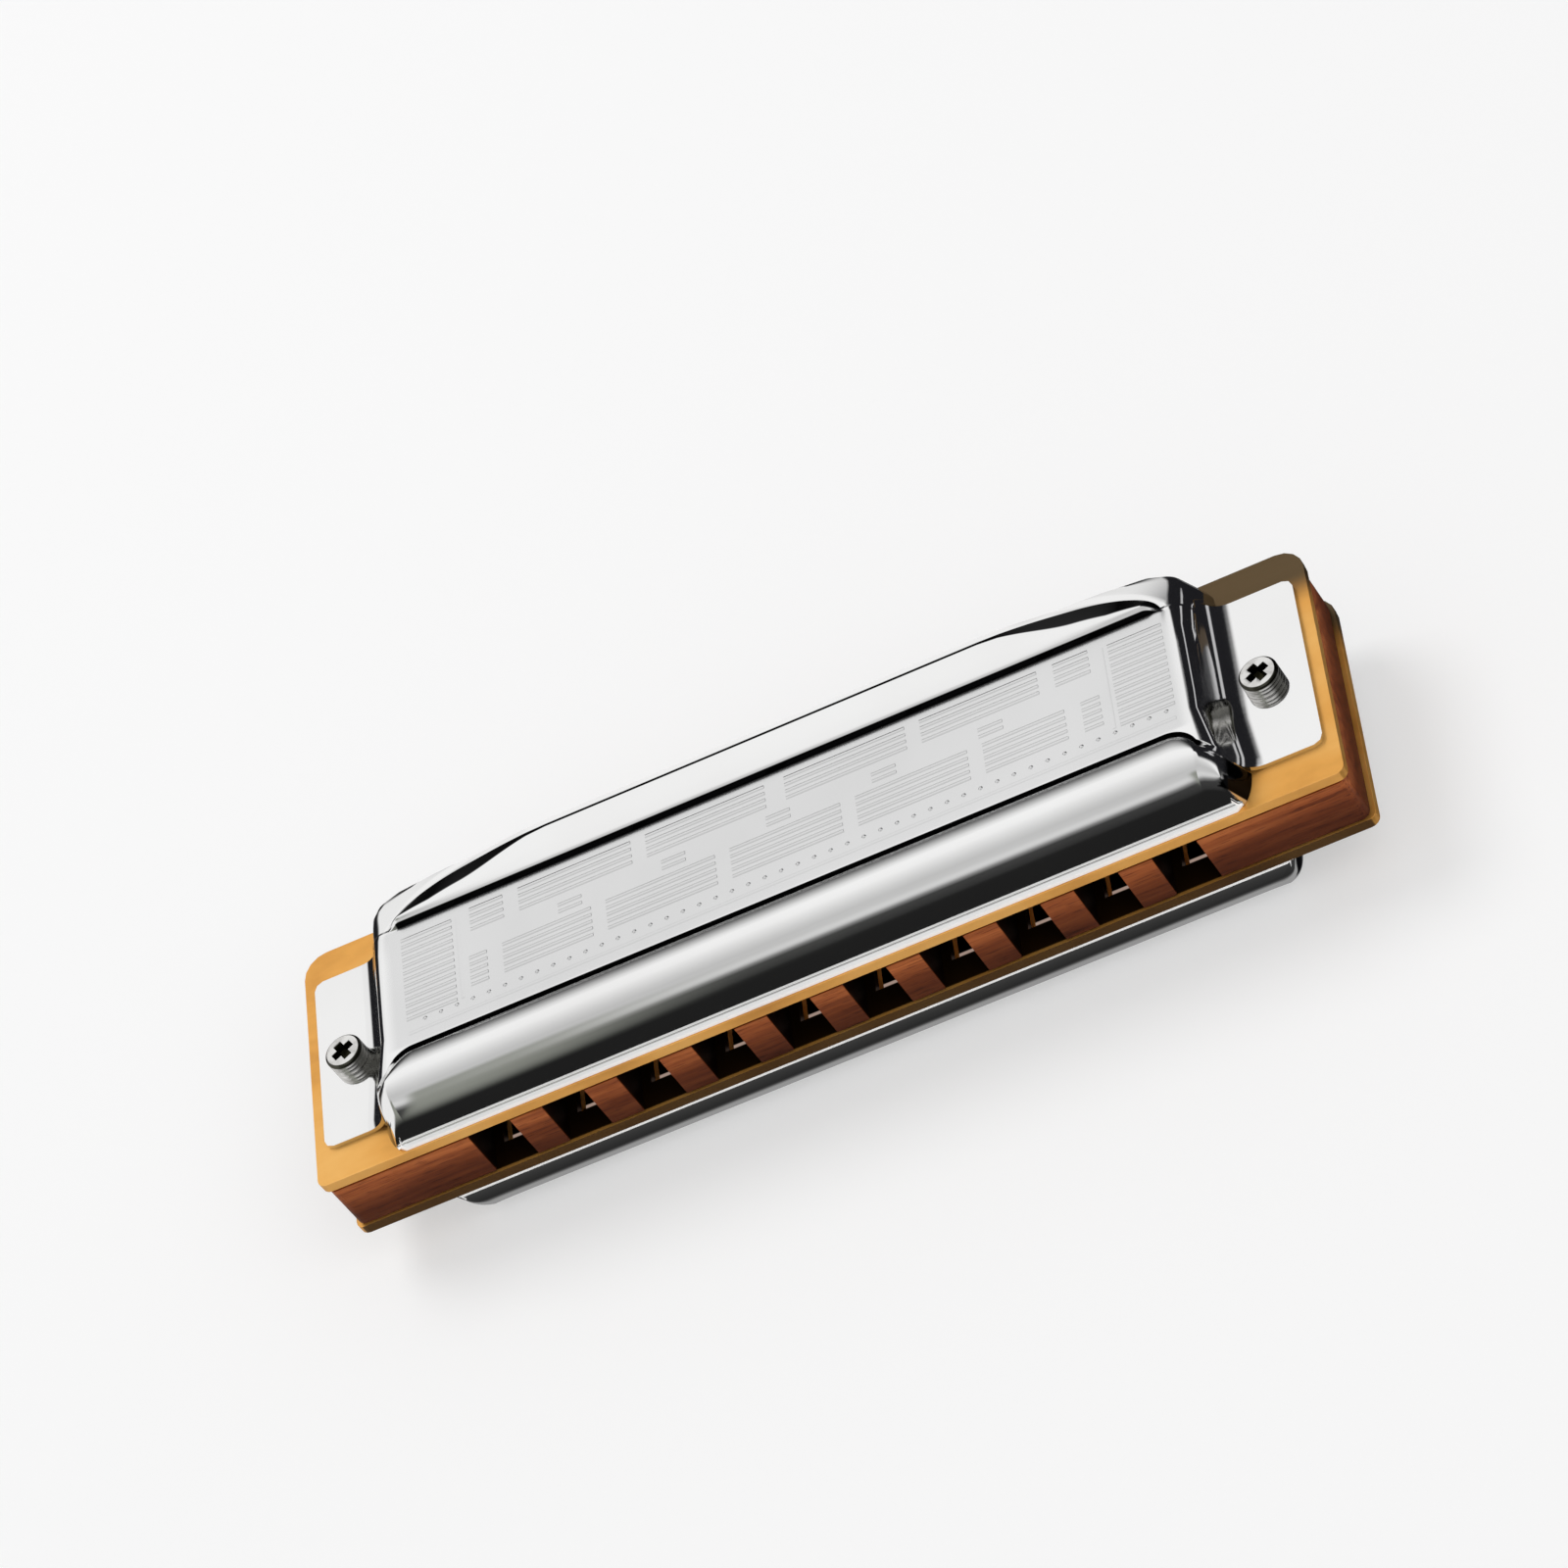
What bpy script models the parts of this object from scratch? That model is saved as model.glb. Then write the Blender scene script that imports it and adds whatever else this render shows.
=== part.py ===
"""Ten-hole diatonic harmonica: wooden comb, two brass plates, twenty reeds and two pressed steel covers.

All sizes are in metres. X runs along the instrument with the low notes at -X, the mouth side faces -Y and
Z is up. The origin is at the bottom centre: the instrument lies on its lower cover.
"""

import math

import bmesh
import bpy

# Fits
SEAT_GAP = 0.0003
REED_GAP = 0.0003
HOLE_CLEARANCE = 0.0003
RIVET_CLEARANCE = 0.0002
SLOT_SIDE_CLEARANCE = 0.00015

# Holes and overall size
HOLE_COUNT = 10
HOLE_PITCH = 0.0075
HOLE_WIDTH = 0.0043
END_LENGTH = 0.0130
PLATE_LENGTH = HOLE_COUNT * HOLE_PITCH + 2 * END_LENGTH
PLATE_WIDTH = 0.0270
PLATE_FRONT_Y = -PLATE_WIDTH / 2
PLATE_REAR_Y = PLATE_WIDTH / 2

# Comb
COMB_END_INSET = 0.0004
COMB_SIDE_INSET = 0.0001
COMB_THICKNESS = 0.0054
COMB_FRONT_Y = PLATE_FRONT_Y + COMB_SIDE_INSET
COMB_REAR_RADIUS = 0.0022
COMB_FRONT_RADIUS = 0.0008
CHAMBER_END_MARGIN = 0.0003

# Reed plates
PLATE_THICKNESS = 0.0010
PLATE_REAR_RADIUS = 0.0024
PLATE_FRONT_RADIUS = 0.0009

# Reeds
REED_THICKNESS = 0.0003
TONGUE_WIDTH = 0.0024
TONGUE_TIP_WIDTH = 0.0021
PAD_WIDTH = 0.0033
PAD_LENGTH = 0.0026
BLOW_PAD_SETBACK = 0.0017
DRAW_TIP_SETBACK = 0.0031
BLOW_LONGEST = 0.0155
BLOW_SHORTEST = 0.0085
DRAW_LONGEST = 0.0155
DRAW_SHORTEST = 0.0090
SLOT_END_CLEARANCE = 0.0003

# Rivets
RIVET_RADIUS = 0.0005
RIVET_HEAD_RADIUS = 0.00095
RIVET_HEAD_TOP_RADIUS = 0.00067
RIVET_HEAD_HEIGHT = 0.0004
RIVET_TAIL_RADIUS = 0.00085
RIVET_TAIL_HEIGHT = 0.00025

# Plate screws, which hold each plate to the comb
PLATE_SCREW_RADIUS = 0.0006
PLATE_SCREW_LENGTH = 0.0026
PLATE_SCREW_HEAD_RADIUS = 0.0012
PLATE_SCREW_HEAD_TOP_RADIUS = 0.0009
PLATE_SCREW_HEAD_HEIGHT = 0.0006
PLATE_SCREW_HEAD_EDGE_HEIGHT = 0.00036
PLATE_SCREW_SLOT_WIDTH = 0.0004
PLATE_SCREW_SLOT_DEPTH = 0.0003
PLATE_SCREW_SLOT_REACH = 0.0018
PLATE_SCREW_END_SETBACK = 0.0113
PLATE_SCREW_FRONT_SETBACK = 0.0050
PLATE_SCREW_REAR_SETBACK = 0.0047
PLATE_SCREW_MIDDLE_SETBACK = 0.0061

# Covers, with heights measured from the outer face of the plate that they stand on
SHEET = 0.00045
COVER_HEIGHT = 0.0054
COVER_END_SETBACK = 0.0079
COVER_BASE_HALF = PLATE_LENGTH / 2 - COVER_END_SETBACK
WALL_FOOT_GAP = 0.0005
LIP_SETBACK = 0.0002
LIP_WIDTH = 0.0005
ROLL_DEPTH = 0.0037
ROLL_RISE = 0.0030
ROLL_TOP_WIDTH = 0.0010
ROLL_BACK_DEPTH = 0.0020
CREASE_DEPTH = 0.00015
CREASE_WIDTH = 0.0002
CREASE_BEND = 0.0010
CREASE_BEND_SHARE = 0.90
ROLL_END_SHARE = 0.965
ROLL_STOP_SHARE = 0.988
PANEL_HEIGHT = 0.0046
SHELF_SETBACK = 0.0053
PANEL_REAR_Y = PLATE_REAR_Y - SHELF_SETBACK
RISER_RUN = 0.0004
SHELF_END_WIDTH = 0.0005
SHELF_ARC_WIDTH = 0.00365
SHELF_ARC_SHARE = 0.645
SHELF_TIP_SHARE = 0.965
SHELF_TIP_LENGTH = 0.03
SHELF_SLOPE_WIDTH = 0.0005
BAND_HEIGHT = 0.00515
BAND_BEND_SHARE = 0.65
RIM_SETBACK = 0.0002
RIM_HEIGHT = 0.0050
RIM_END_HEIGHT = 0.0041
END_LEAN = 0.60
ROLL_END_LEAN = 0.40
REAR_CORNER_RADIUS = 0.0023
FRONT_CORNER_RADIUS = 0.0009
TAB_END_SETBACK = 0.0012
TAB_SIDE_SETBACK = 0.00375
TAB_END = PLATE_LENGTH / 2 - TAB_END_SETBACK
TAB_HALF_WIDTH = PLATE_WIDTH / 2 - TAB_SIDE_SETBACK
TAB_CORNER = 0.0009

# Cover bolts and nuts
BOLT_END_SETBACK = 0.0049
BOLT_X = PLATE_LENGTH / 2 - BOLT_END_SETBACK
BOLT_Y = -0.0007
BOLT_RADIUS = 0.0010
BOLT_HEAD_RADIUS = 0.00188
BOLT_HEAD_HEIGHT = 0.0014
BOLT_HEAD_CHAMFER = 0.00035
BOLT_RECESS_SPAN = 0.0020
BOLT_RECESS_WIDTH = 0.0006
BOLT_RECESS_DEPTH = 0.0009
BOLT_END_LENGTH = 0.0004
NUT_ACROSS_FLATS = 0.0040
NUT_HEIGHT = 0.0016

# Facets: a cover's columns as shares of its half length, then steps down its end wall by height and by lean
COVER_SHARES = (0.0, 0.35, 0.70, 0.77, 0.83, 0.88, 0.92, 0.95, 0.966, 0.988, 1.0)
WALL_STEPS = ((0.12, 0.15), (0.55, 0.69), (1.0, 1.0))
BOLT_SEGMENTS = 20
SCREW_SEGMENTS = 12
RIVET_SEGMENTS = 10
HOLE_SEGMENTS = 12
CORNER_STEPS = 4
SHARP_ANGLE = math.radians(35)
ROLL_STEPS = 5
ROLL_BACK_STEPS = 3

# Levels
LOWER_PLATE_OUTER_Z = COVER_HEIGHT
LOWER_PLATE_INNER_Z = LOWER_PLATE_OUTER_Z + PLATE_THICKNESS
COMB_BOTTOM_Z = LOWER_PLATE_INNER_Z + SEAT_GAP
COMB_TOP_Z = COMB_BOTTOM_Z + COMB_THICKNESS
UPPER_PLATE_INNER_Z = COMB_TOP_Z + SEAT_GAP
UPPER_PLATE_OUTER_Z = UPPER_PLATE_INNER_Z + PLATE_THICKNESS

FOOT_Z = SEAT_GAP + SHEET
BOLT_PLACES = [("left", -BOLT_X), ("right", BOLT_X)]
PLATE_SCREW_END_X = PLATE_LENGTH / 2 - PLATE_SCREW_END_SETBACK
PLATE_SCREW_PLACES = [
    (-PLATE_SCREW_END_X, PLATE_FRONT_Y + PLATE_SCREW_FRONT_SETBACK),
    (PLATE_SCREW_END_X, PLATE_FRONT_Y + PLATE_SCREW_FRONT_SETBACK),
    (-PLATE_SCREW_END_X, PLATE_REAR_Y - PLATE_SCREW_REAR_SETBACK),
    (PLATE_SCREW_END_X, PLATE_REAR_Y - PLATE_SCREW_REAR_SETBACK),
    (0.0, PLATE_REAR_Y - PLATE_SCREW_MIDDLE_SETBACK),
]


def between(first, last, index):
    """Value for one hole, going evenly from the first hole to the last."""
    return first + (last - first) * index / (HOLE_COUNT - 1)


def hole_x(index):
    return (index - (HOLE_COUNT - 1) / 2) * HOLE_PITCH


def blow_root_y(index):
    """Where a blow reed's tongue leaves its pad: the same for every hole, just behind the mouth."""
    return COMB_FRONT_Y + BLOW_PAD_SETBACK + PAD_LENGTH


def blow_length(index):
    return between(BLOW_LONGEST, BLOW_SHORTEST, index)


def draw_length(index):
    return between(DRAW_LONGEST, DRAW_SHORTEST, index)


def draw_root_y(index):
    """Draw reeds have their tips in a row near the mouth, so their roots step forward with the notes."""
    return COMB_FRONT_Y + DRAW_TIP_SETBACK + SLOT_END_CLEARANCE + draw_length(index)


def chamber_end_y(index):
    """A chamber ends just past both of its reeds and their rivets."""
    blow_end = blow_root_y(index) + blow_length(index) + SLOT_END_CLEARANCE
    draw_end = draw_root_y(index) + PAD_LENGTH
    return max(blow_end, draw_end) + CHAMBER_END_MARGIN


def make_material(name, color, roughness, metallic):
    material = bpy.data.materials.new(name)
    material.use_nodes = True
    shader = material.node_tree.nodes["Principled BSDF"]
    shader.inputs["Base Color"].default_value = (*color, 1.0)
    shader.inputs["Roughness"].default_value = roughness
    shader.inputs["Metallic"].default_value = metallic
    material.diffuse_color = (*color, 1.0)
    return material


def circle(x, y, radius, segments):
    turns = [2 * math.pi * k / segments for k in range(segments)]
    return [(x + radius * math.cos(a), y + radius * math.sin(a)) for a in turns]


def rectangle(x_low, x_high, y_low, y_high):
    return [(x_low, y_low), (x_high, y_low), (x_high, y_high), (x_low, y_high)]


def corner_arc(x, y, radius, start_degrees):
    """A quarter turn about x, y, counter-clockwise from the start angle."""
    steps = [math.radians(start_degrees + 90 * k / CORNER_STEPS) for k in range(CORNER_STEPS + 1)]
    return [(x + radius * math.cos(a), y + radius * math.sin(a)) for a in steps]


def slab_corners(length, width, front_radius, rear_radius):
    """The four rounded corners of a slab, counter-clockwise from the front left one."""
    x_end = length / 2
    y_end = width / 2
    front_x = x_end - front_radius
    front_y = -y_end + front_radius
    rear_x = x_end - rear_radius
    rear_y = y_end - rear_radius
    return (
        corner_arc(-front_x, front_y, front_radius, 180),
        corner_arc(front_x, front_y, front_radius, 270),
        corner_arc(rear_x, rear_y, rear_radius, 0),
        corner_arc(-rear_x, rear_y, rear_radius, 90),
    )


def link_part(obj, material, collection):
    obj.data.materials.clear()
    obj.data.materials.append(material)
    collection.objects.link(obj)
    return obj


def flat_mesh(name, outlines, thickness):
    """A flat piece with the first outline, and the others as holes, centred on its own mid plane."""
    curve = bpy.data.curves.new(name + "_outline", "CURVE")
    curve.dimensions = "2D"
    curve.fill_mode = "BOTH"
    curve.extrude = thickness / 2
    for outline in outlines:
        spline = curve.splines.new("POLY")
        spline.points.add(len(outline) - 1)
        for point, (x, y) in zip(spline.points, outline):
            point.co = (x, y, 0.0, 1.0)
        spline.use_cyclic_u = True
    holder = bpy.data.objects.new(name + "_outline", curve)
    bpy.context.scene.collection.objects.link(holder)
    evaluated = holder.evaluated_get(bpy.context.evaluated_depsgraph_get())
    mesh = bpy.data.meshes.new_from_object(evaluated)
    mesh.name = name
    bpy.data.objects.remove(holder)
    bpy.data.curves.remove(curve)

    bm = bmesh.new()
    bm.from_mesh(mesh)
    bmesh.ops.remove_doubles(bm, verts=bm.verts, dist=1e-6)
    bmesh.ops.recalc_face_normals(bm, faces=bm.faces)
    bm.to_mesh(mesh)
    bm.free()
    return mesh


def flat_piece(name, outlines, thickness, bottom_z, material, collection):
    obj = bpy.data.objects.new(name, flat_mesh(name, outlines, thickness))
    obj.location.z = bottom_z + thickness / 2
    return link_part(obj, material, collection)


def turned_piece(name, profile, segments, material, collection):
    """A piece turned about Z from a profile of radius and height, which runs from the top down."""
    mesh = bpy.data.meshes.new(name)
    edges = [(k, k + 1) for k in range(len(profile) - 1)]
    mesh.from_pydata([(radius, 0.0, z) for radius, z in profile], edges, [])
    obj = bpy.data.objects.new(name, mesh)
    screw = obj.modifiers.new("turn", "SCREW")
    screw.axis = "Z"
    screw.angle = 2 * math.pi
    screw.steps = segments
    screw.render_steps = segments
    screw.use_merge_vertices = True
    screw.merge_threshold = 1e-6
    screw.use_smooth_shade = False
    return link_part(obj, material, collection)


def cutter(name, outlines, thickness, bottom_z, collection):
    obj = bpy.data.objects.new(name, flat_mesh(name, outlines, thickness))
    obj.location.z = bottom_z + thickness / 2
    obj.hide_render = True
    obj.display_type = "WIRE"
    collection.objects.link(obj)
    return obj


def cut(obj, tool):
    boolean = obj.modifiers.new("cut_" + tool.name, "BOOLEAN")
    boolean.operation = "DIFFERENCE"
    boolean.object = tool


def fixing_holes():
    """Holes for the cover bolts and the plate screws, which run through plates and comb alike."""
    bolt_hole = BOLT_RADIUS + HOLE_CLEARANCE
    screw_hole = PLATE_SCREW_RADIUS + RIVET_CLEARANCE
    holes = [circle(x, BOLT_Y, bolt_hole, HOLE_SEGMENTS) for _, x in BOLT_PLACES]
    holes += [circle(x, y, screw_hole, HOLE_SEGMENTS) for x, y in PLATE_SCREW_PLACES]
    return holes


def make_comb(material, collection):
    length = PLATE_LENGTH - 2 * COMB_END_INSET
    width = PLATE_WIDTH - 2 * COMB_SIDE_INSET
    corners = slab_corners(length, width, COMB_FRONT_RADIUS, COMB_REAR_RADIUS)
    front_left, front_right, rear_right, rear_left = corners
    outline = list(front_left)
    for index in range(HOLE_COUNT):
        left = hole_x(index) - HOLE_WIDTH / 2
        right = hole_x(index) + HOLE_WIDTH / 2
        end = chamber_end_y(index)
        outline += [(left, COMB_FRONT_Y), (left, end), (right, end), (right, COMB_FRONT_Y)]
    outline += front_right + rear_right + rear_left
    outlines = [outline] + fixing_holes()
    return flat_piece("comb", outlines, COMB_THICKNESS, COMB_BOTTOM_Z, material, collection)


def reed_slot(index, root_y, length, direction):
    """Slot outline and rivet hole for one reed, whose tongue points along direction from its root."""
    half = TONGUE_WIDTH / 2 + SLOT_SIDE_CLEARANCE
    x = hole_x(index)
    tip_y = root_y + direction * (length + SLOT_END_CLEARANCE)
    slot = rectangle(x - half, x + half, min(root_y, tip_y), max(root_y, tip_y))
    rivet_y = root_y - direction * PAD_LENGTH / 2
    return [slot, circle(x, rivet_y, RIVET_RADIUS + RIVET_CLEARANCE, RIVET_SEGMENTS)]


def make_reed_plate(name, reeds, bottom_z, material, collection):
    outlines = [sum(slab_corners(PLATE_LENGTH, PLATE_WIDTH, PLATE_FRONT_RADIUS, PLATE_REAR_RADIUS), [])]
    for index, root_y, length, direction in reeds:
        outlines += reed_slot(index, root_y, length, direction)
    outlines += fixing_holes()
    return flat_piece(name, outlines, PLATE_THICKNESS, bottom_z, material, collection)


def make_reed(name, index, root_y, length, direction, level_z, material, collection):
    """One reed with its origin on the root line, where its tongue bends."""
    pad = PAD_WIDTH / 2
    root = TONGUE_WIDTH / 2
    tip = TONGUE_TIP_WIDTH / 2
    outline = [
        (-pad, -PAD_LENGTH),
        (pad, -PAD_LENGTH),
        (pad, 0.0),
        (root, 0.0),
        (tip, length),
        (-tip, length),
        (-root, 0.0),
        (-pad, 0.0),
    ]
    hole = circle(0.0, -PAD_LENGTH / 2, RIVET_RADIUS + RIVET_CLEARANCE, RIVET_SEGMENTS)
    reed = flat_piece(name, [outline, hole], REED_THICKNESS, 0.0, material, collection)
    reed.location = (hole_x(index), root_y, level_z)
    if direction < 0:
        reed.rotation_euler.z = math.pi
    return reed


def make_rivet(name, index, rivet_y, plate_outer_z, side, material, collection):
    """A rivet through a reed's pad and its plate; side is the way its head points, +1 up or -1 down."""
    head_level = PLATE_THICKNESS + REED_GAP + REED_THICKNESS + REED_GAP
    tail = RIVET_CLEARANCE
    profile = [
        (0.0, head_level + RIVET_HEAD_HEIGHT),
        (RIVET_HEAD_TOP_RADIUS, head_level + RIVET_HEAD_HEIGHT),
        (RIVET_HEAD_RADIUS, head_level + RIVET_HEAD_HEIGHT / 2),
        (RIVET_HEAD_RADIUS, head_level),
        (RIVET_RADIUS, head_level),
        (RIVET_RADIUS, -tail),
        (RIVET_TAIL_RADIUS, -tail),
        (RIVET_TAIL_RADIUS, -tail - RIVET_TAIL_HEIGHT),
        (0.0, -tail - RIVET_TAIL_HEIGHT),
    ]
    rivet = turned_piece(name, profile, RIVET_SEGMENTS, material, collection)
    rivet.location = (hole_x(index), rivet_y, plate_outer_z)
    if side < 0:
        rivet.rotation_euler.x = math.pi
    return rivet


def make_plate_screw(name, x, y, plate_outer_z, side, tool, material, collection):
    """A small slotted screw; side is +1 for the upper plate and -1 for the lower one."""
    profile = [
        (0.0, SEAT_GAP + PLATE_SCREW_HEAD_HEIGHT),
        (PLATE_SCREW_HEAD_TOP_RADIUS, SEAT_GAP + PLATE_SCREW_HEAD_HEIGHT),
        (PLATE_SCREW_HEAD_RADIUS, SEAT_GAP + PLATE_SCREW_HEAD_EDGE_HEIGHT),
        (PLATE_SCREW_HEAD_RADIUS, SEAT_GAP),
        (PLATE_SCREW_RADIUS, SEAT_GAP),
        (PLATE_SCREW_RADIUS, SEAT_GAP - PLATE_SCREW_LENGTH),
        (0.0, SEAT_GAP - PLATE_SCREW_LENGTH - PLATE_SCREW_RADIUS),
    ]
    screw = turned_piece(name, profile, SCREW_SEGMENTS, material, collection)
    screw.location = (x, y, plate_outer_z)
    tool.location = (x, y, plate_outer_z + side * tool.location.z)
    cut(screw, tool)
    if side < 0:
        screw.rotation_euler.x = math.pi
    return screw


def screw_slot_cutter(name, collection):
    depth = PLATE_SCREW_SLOT_DEPTH
    half = PLATE_SCREW_SLOT_WIDTH / 2
    outline = rectangle(-PLATE_SCREW_SLOT_REACH, PLATE_SCREW_SLOT_REACH, -half, half)
    bottom = SEAT_GAP + PLATE_SCREW_HEAD_HEIGHT - depth
    return cutter(name, [outline], 2 * depth, bottom, collection)


def make_cover_bolt(name, x, material, collection, cutters):
    """A bolt from the top of the upper cover's tab down through everything, with its end past the nut."""
    head_z = UPPER_PLATE_OUTER_Z + FOOT_Z + SEAT_GAP
    top_z = head_z + BOLT_HEAD_HEIGHT
    nut_z = LOWER_PLATE_OUTER_Z - FOOT_Z - SEAT_GAP - NUT_HEIGHT
    end_z = nut_z - BOLT_END_LENGTH
    profile = [
        (0.0, top_z),
        (BOLT_HEAD_RADIUS - BOLT_HEAD_CHAMFER, top_z),
        (BOLT_HEAD_RADIUS, top_z - BOLT_HEAD_CHAMFER),
        (BOLT_HEAD_RADIUS, head_z),
        (BOLT_RADIUS, head_z),
        (BOLT_RADIUS, end_z),
        (0.0, end_z),
    ]
    bolt = turned_piece(name, profile, BOLT_SEGMENTS, material, collection)
    bolt.location = (x, BOLT_Y, 0.0)
    long = BOLT_RECESS_SPAN / 2
    short = BOLT_RECESS_WIDTH / 2
    for bar, half_x, half_y in (("across", long, short), ("along", short, long)):
        outline = rectangle(x - half_x, x + half_x, BOLT_Y - half_y, BOLT_Y + half_y)
        bottom = top_z - BOLT_RECESS_DEPTH
        cut(bolt, cutter(f"{name}_recess_{bar}", [outline], 2 * BOLT_RECESS_DEPTH, bottom, cutters))
    return bolt


def make_cover_nut(name, x, material, collection):
    corner = NUT_ACROSS_FLATS / 2 / math.cos(math.pi / 6)
    outlines = [circle(0.0, 0.0, corner, 6), circle(0.0, 0.0, BOLT_RADIUS + RIVET_CLEARANCE, HOLE_SEGMENTS)]
    bottom = LOWER_PLATE_OUTER_Z - FOOT_Z - SEAT_GAP - NUT_HEIGHT
    nut = flat_piece(name, outlines, NUT_HEIGHT, bottom, material, collection)
    nut.location.x = x
    nut.location.y = BOLT_Y
    return nut


def ease(low, high, value):
    """A smooth rise from 0 at low to 1 at high."""
    t = min(max((value - low) / (high - low), 0.0), 1.0)
    return t * t * (3 - 2 * t)


def cover_section(share):
    """Outer surface of a cover from front lip to rear rim, as y and height, at a share of its half length.

    In the middle the roll behind the lip and the shelf at the rear both rise to the full height, with the
    flat panel lower between them. Behind the shelf a band runs down to the rim. Near the ends the roll stops
    in a step down to the panel, the shelf narrows along an arc to a tip, and the band and the rim sink.
    """
    step = COVER_HEIGHT - PANEL_HEIGHT
    roll_top = COVER_HEIGHT - step * ease(ROLL_END_SHARE, ROLL_STOP_SHARE, share)
    shelf_z = COVER_HEIGHT - step * ease(SHELF_TIP_SHARE - SHELF_TIP_LENGTH, SHELF_TIP_SHARE, share)
    sink = ease(SHELF_ARC_SHARE, SHELF_TIP_SHARE, share)
    band_z = BAND_HEIGHT - (BAND_HEIGHT - PANEL_HEIGHT) * sink
    rim_z = RIM_HEIGHT - (RIM_HEIGHT - RIM_END_HEIGHT) * sink
    along = min(max((share - SHELF_ARC_SHARE) / (SHELF_TIP_SHARE - SHELF_ARC_SHARE), 0.0), 1.0)
    shelf_width = SHELF_END_WIDTH + SHELF_ARC_WIDTH * math.sqrt(1 - along ** 2)
    slope_width = SHELF_SLOPE_WIDTH + (shelf_width / 2 - SHELF_SLOPE_WIDTH) * along ** 2
    bend = CREASE_BEND * ease(CREASE_BEND_SHARE, 1.0, share)

    lip_y = PLATE_FRONT_Y + LIP_SETBACK
    foot_y = lip_y + LIP_WIDTH
    rim_y = PLATE_REAR_Y - RIM_SETBACK
    roll_y = foot_y + ROLL_DEPTH
    roll_z = COVER_HEIGHT - ROLL_RISE
    points = [(lip_y, FOOT_Z), (foot_y, FOOT_Z)]
    for k in range(ROLL_STEPS + 1):
        angle = math.pi / 2 * k / ROLL_STEPS
        y = roll_y - ROLL_DEPTH * math.cos(angle)
        points.append((y, roll_z + (roll_top - roll_z) * math.sin(angle)))
    back_y = roll_y + ROLL_TOP_WIDTH - bend
    crease_z = PANEL_HEIGHT - CREASE_DEPTH
    for k in range(ROLL_BACK_STEPS + 1):
        angle = math.pi / 2 * k / ROLL_BACK_STEPS
        z = crease_z + (roll_top - crease_z) * math.cos(angle)
        points.append((back_y + ROLL_BACK_DEPTH * math.sin(angle), z))
    shelf_y = PANEL_REAR_Y + RISER_RUN
    band_y = shelf_y + shelf_width
    bend_y = band_y + (rim_y - band_y) * BAND_BEND_SHARE
    points += [
        (back_y + ROLL_BACK_DEPTH + CREASE_WIDTH, PANEL_HEIGHT),
        (0.0, PANEL_HEIGHT),
        (PANEL_REAR_Y, PANEL_HEIGHT),
        (shelf_y, shelf_z),
        (band_y - slope_width, shelf_z),
        (band_y, band_z),
        (bend_y, band_z + (rim_z - band_z) * BAND_BEND_SHARE),
        (rim_y, rim_z),
    ]
    return points


def end_base(y):
    """Half length of the cover's foot at y, rounded off at the front and rear corners."""
    lip_y = PLATE_FRONT_Y + LIP_SETBACK
    rim_y = PLATE_REAR_Y - RIM_SETBACK
    front = max(lip_y + FRONT_CORNER_RADIUS - y, 0.0) / FRONT_CORNER_RADIUS
    rear = max(y - (rim_y - REAR_CORNER_RADIUS), 0.0) / REAR_CORNER_RADIUS
    inset = FRONT_CORNER_RADIUS * (1 - math.sqrt(1 - min(front, 1.0) ** 2))
    inset += REAR_CORNER_RADIUS * (1 - math.sqrt(1 - min(rear, 1.0) ** 2))
    return COVER_BASE_HALF - inset


def cover_grid():
    """Points of a cover's outer surface in columns from end to end, and the rows that the tabs grow from.

    Between those rows the end walls turn out into the tabs, and past them they go on down to the plate.
    """
    end_section = cover_section(1.0)
    rows = range(len(end_section))
    front_row = min(rows[2:], key=lambda row: abs(end_section[row][0] + TAB_HALF_WIDTH))
    rear_row = min(rows[2:], key=lambda row: abs(end_section[row][0] - TAB_HALF_WIDTH))
    foot_y = [y for y, _ in end_section]
    foot_y[front_row] = -TAB_HALF_WIDTH
    foot_y[rear_row] = TAB_HALF_WIDTH
    foot_z = [WALL_FOOT_GAP if row > rear_row or 1 < row < front_row else FOOT_Z for row in rows]

    edge_x = []
    roll_end_y = PLATE_FRONT_Y + LIP_SETBACK + LIP_WIDTH + ROLL_DEPTH
    for row in rows:
        y, z = end_section[row]
        lean = ROLL_END_LEAN if y <= roll_end_y else END_LEAN
        edge_x.append(end_base(foot_y[row]) - lean * (z - FOOT_Z))

    half = []
    for share in COVER_SHARES:
        section = cover_section(share)
        half.append([(share * edge_x[row], *section[row]) for row in rows])
    for down, out in WALL_STEPS:
        column = []
        for row in rows:
            y, z = end_section[row]
            x = edge_x[row] + (end_base(foot_y[row]) - edge_x[row]) * out
            column.append((x, y + (foot_y[row] - y) * down, z + (foot_z[row] - z) * down))
        half.append(column)
    for x, shrink in ((TAB_END - TAB_CORNER, 0.0), (TAB_END, TAB_CORNER)):
        narrower = 1 - shrink / TAB_HALF_WIDTH
        half.append([(x, y * narrower, FOOT_Z) for y in foot_y])
    mirrored = [[(-x, y, z) for x, y, z in column] for column in reversed(half[1:])]
    return mirrored + half, front_row, rear_row


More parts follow.
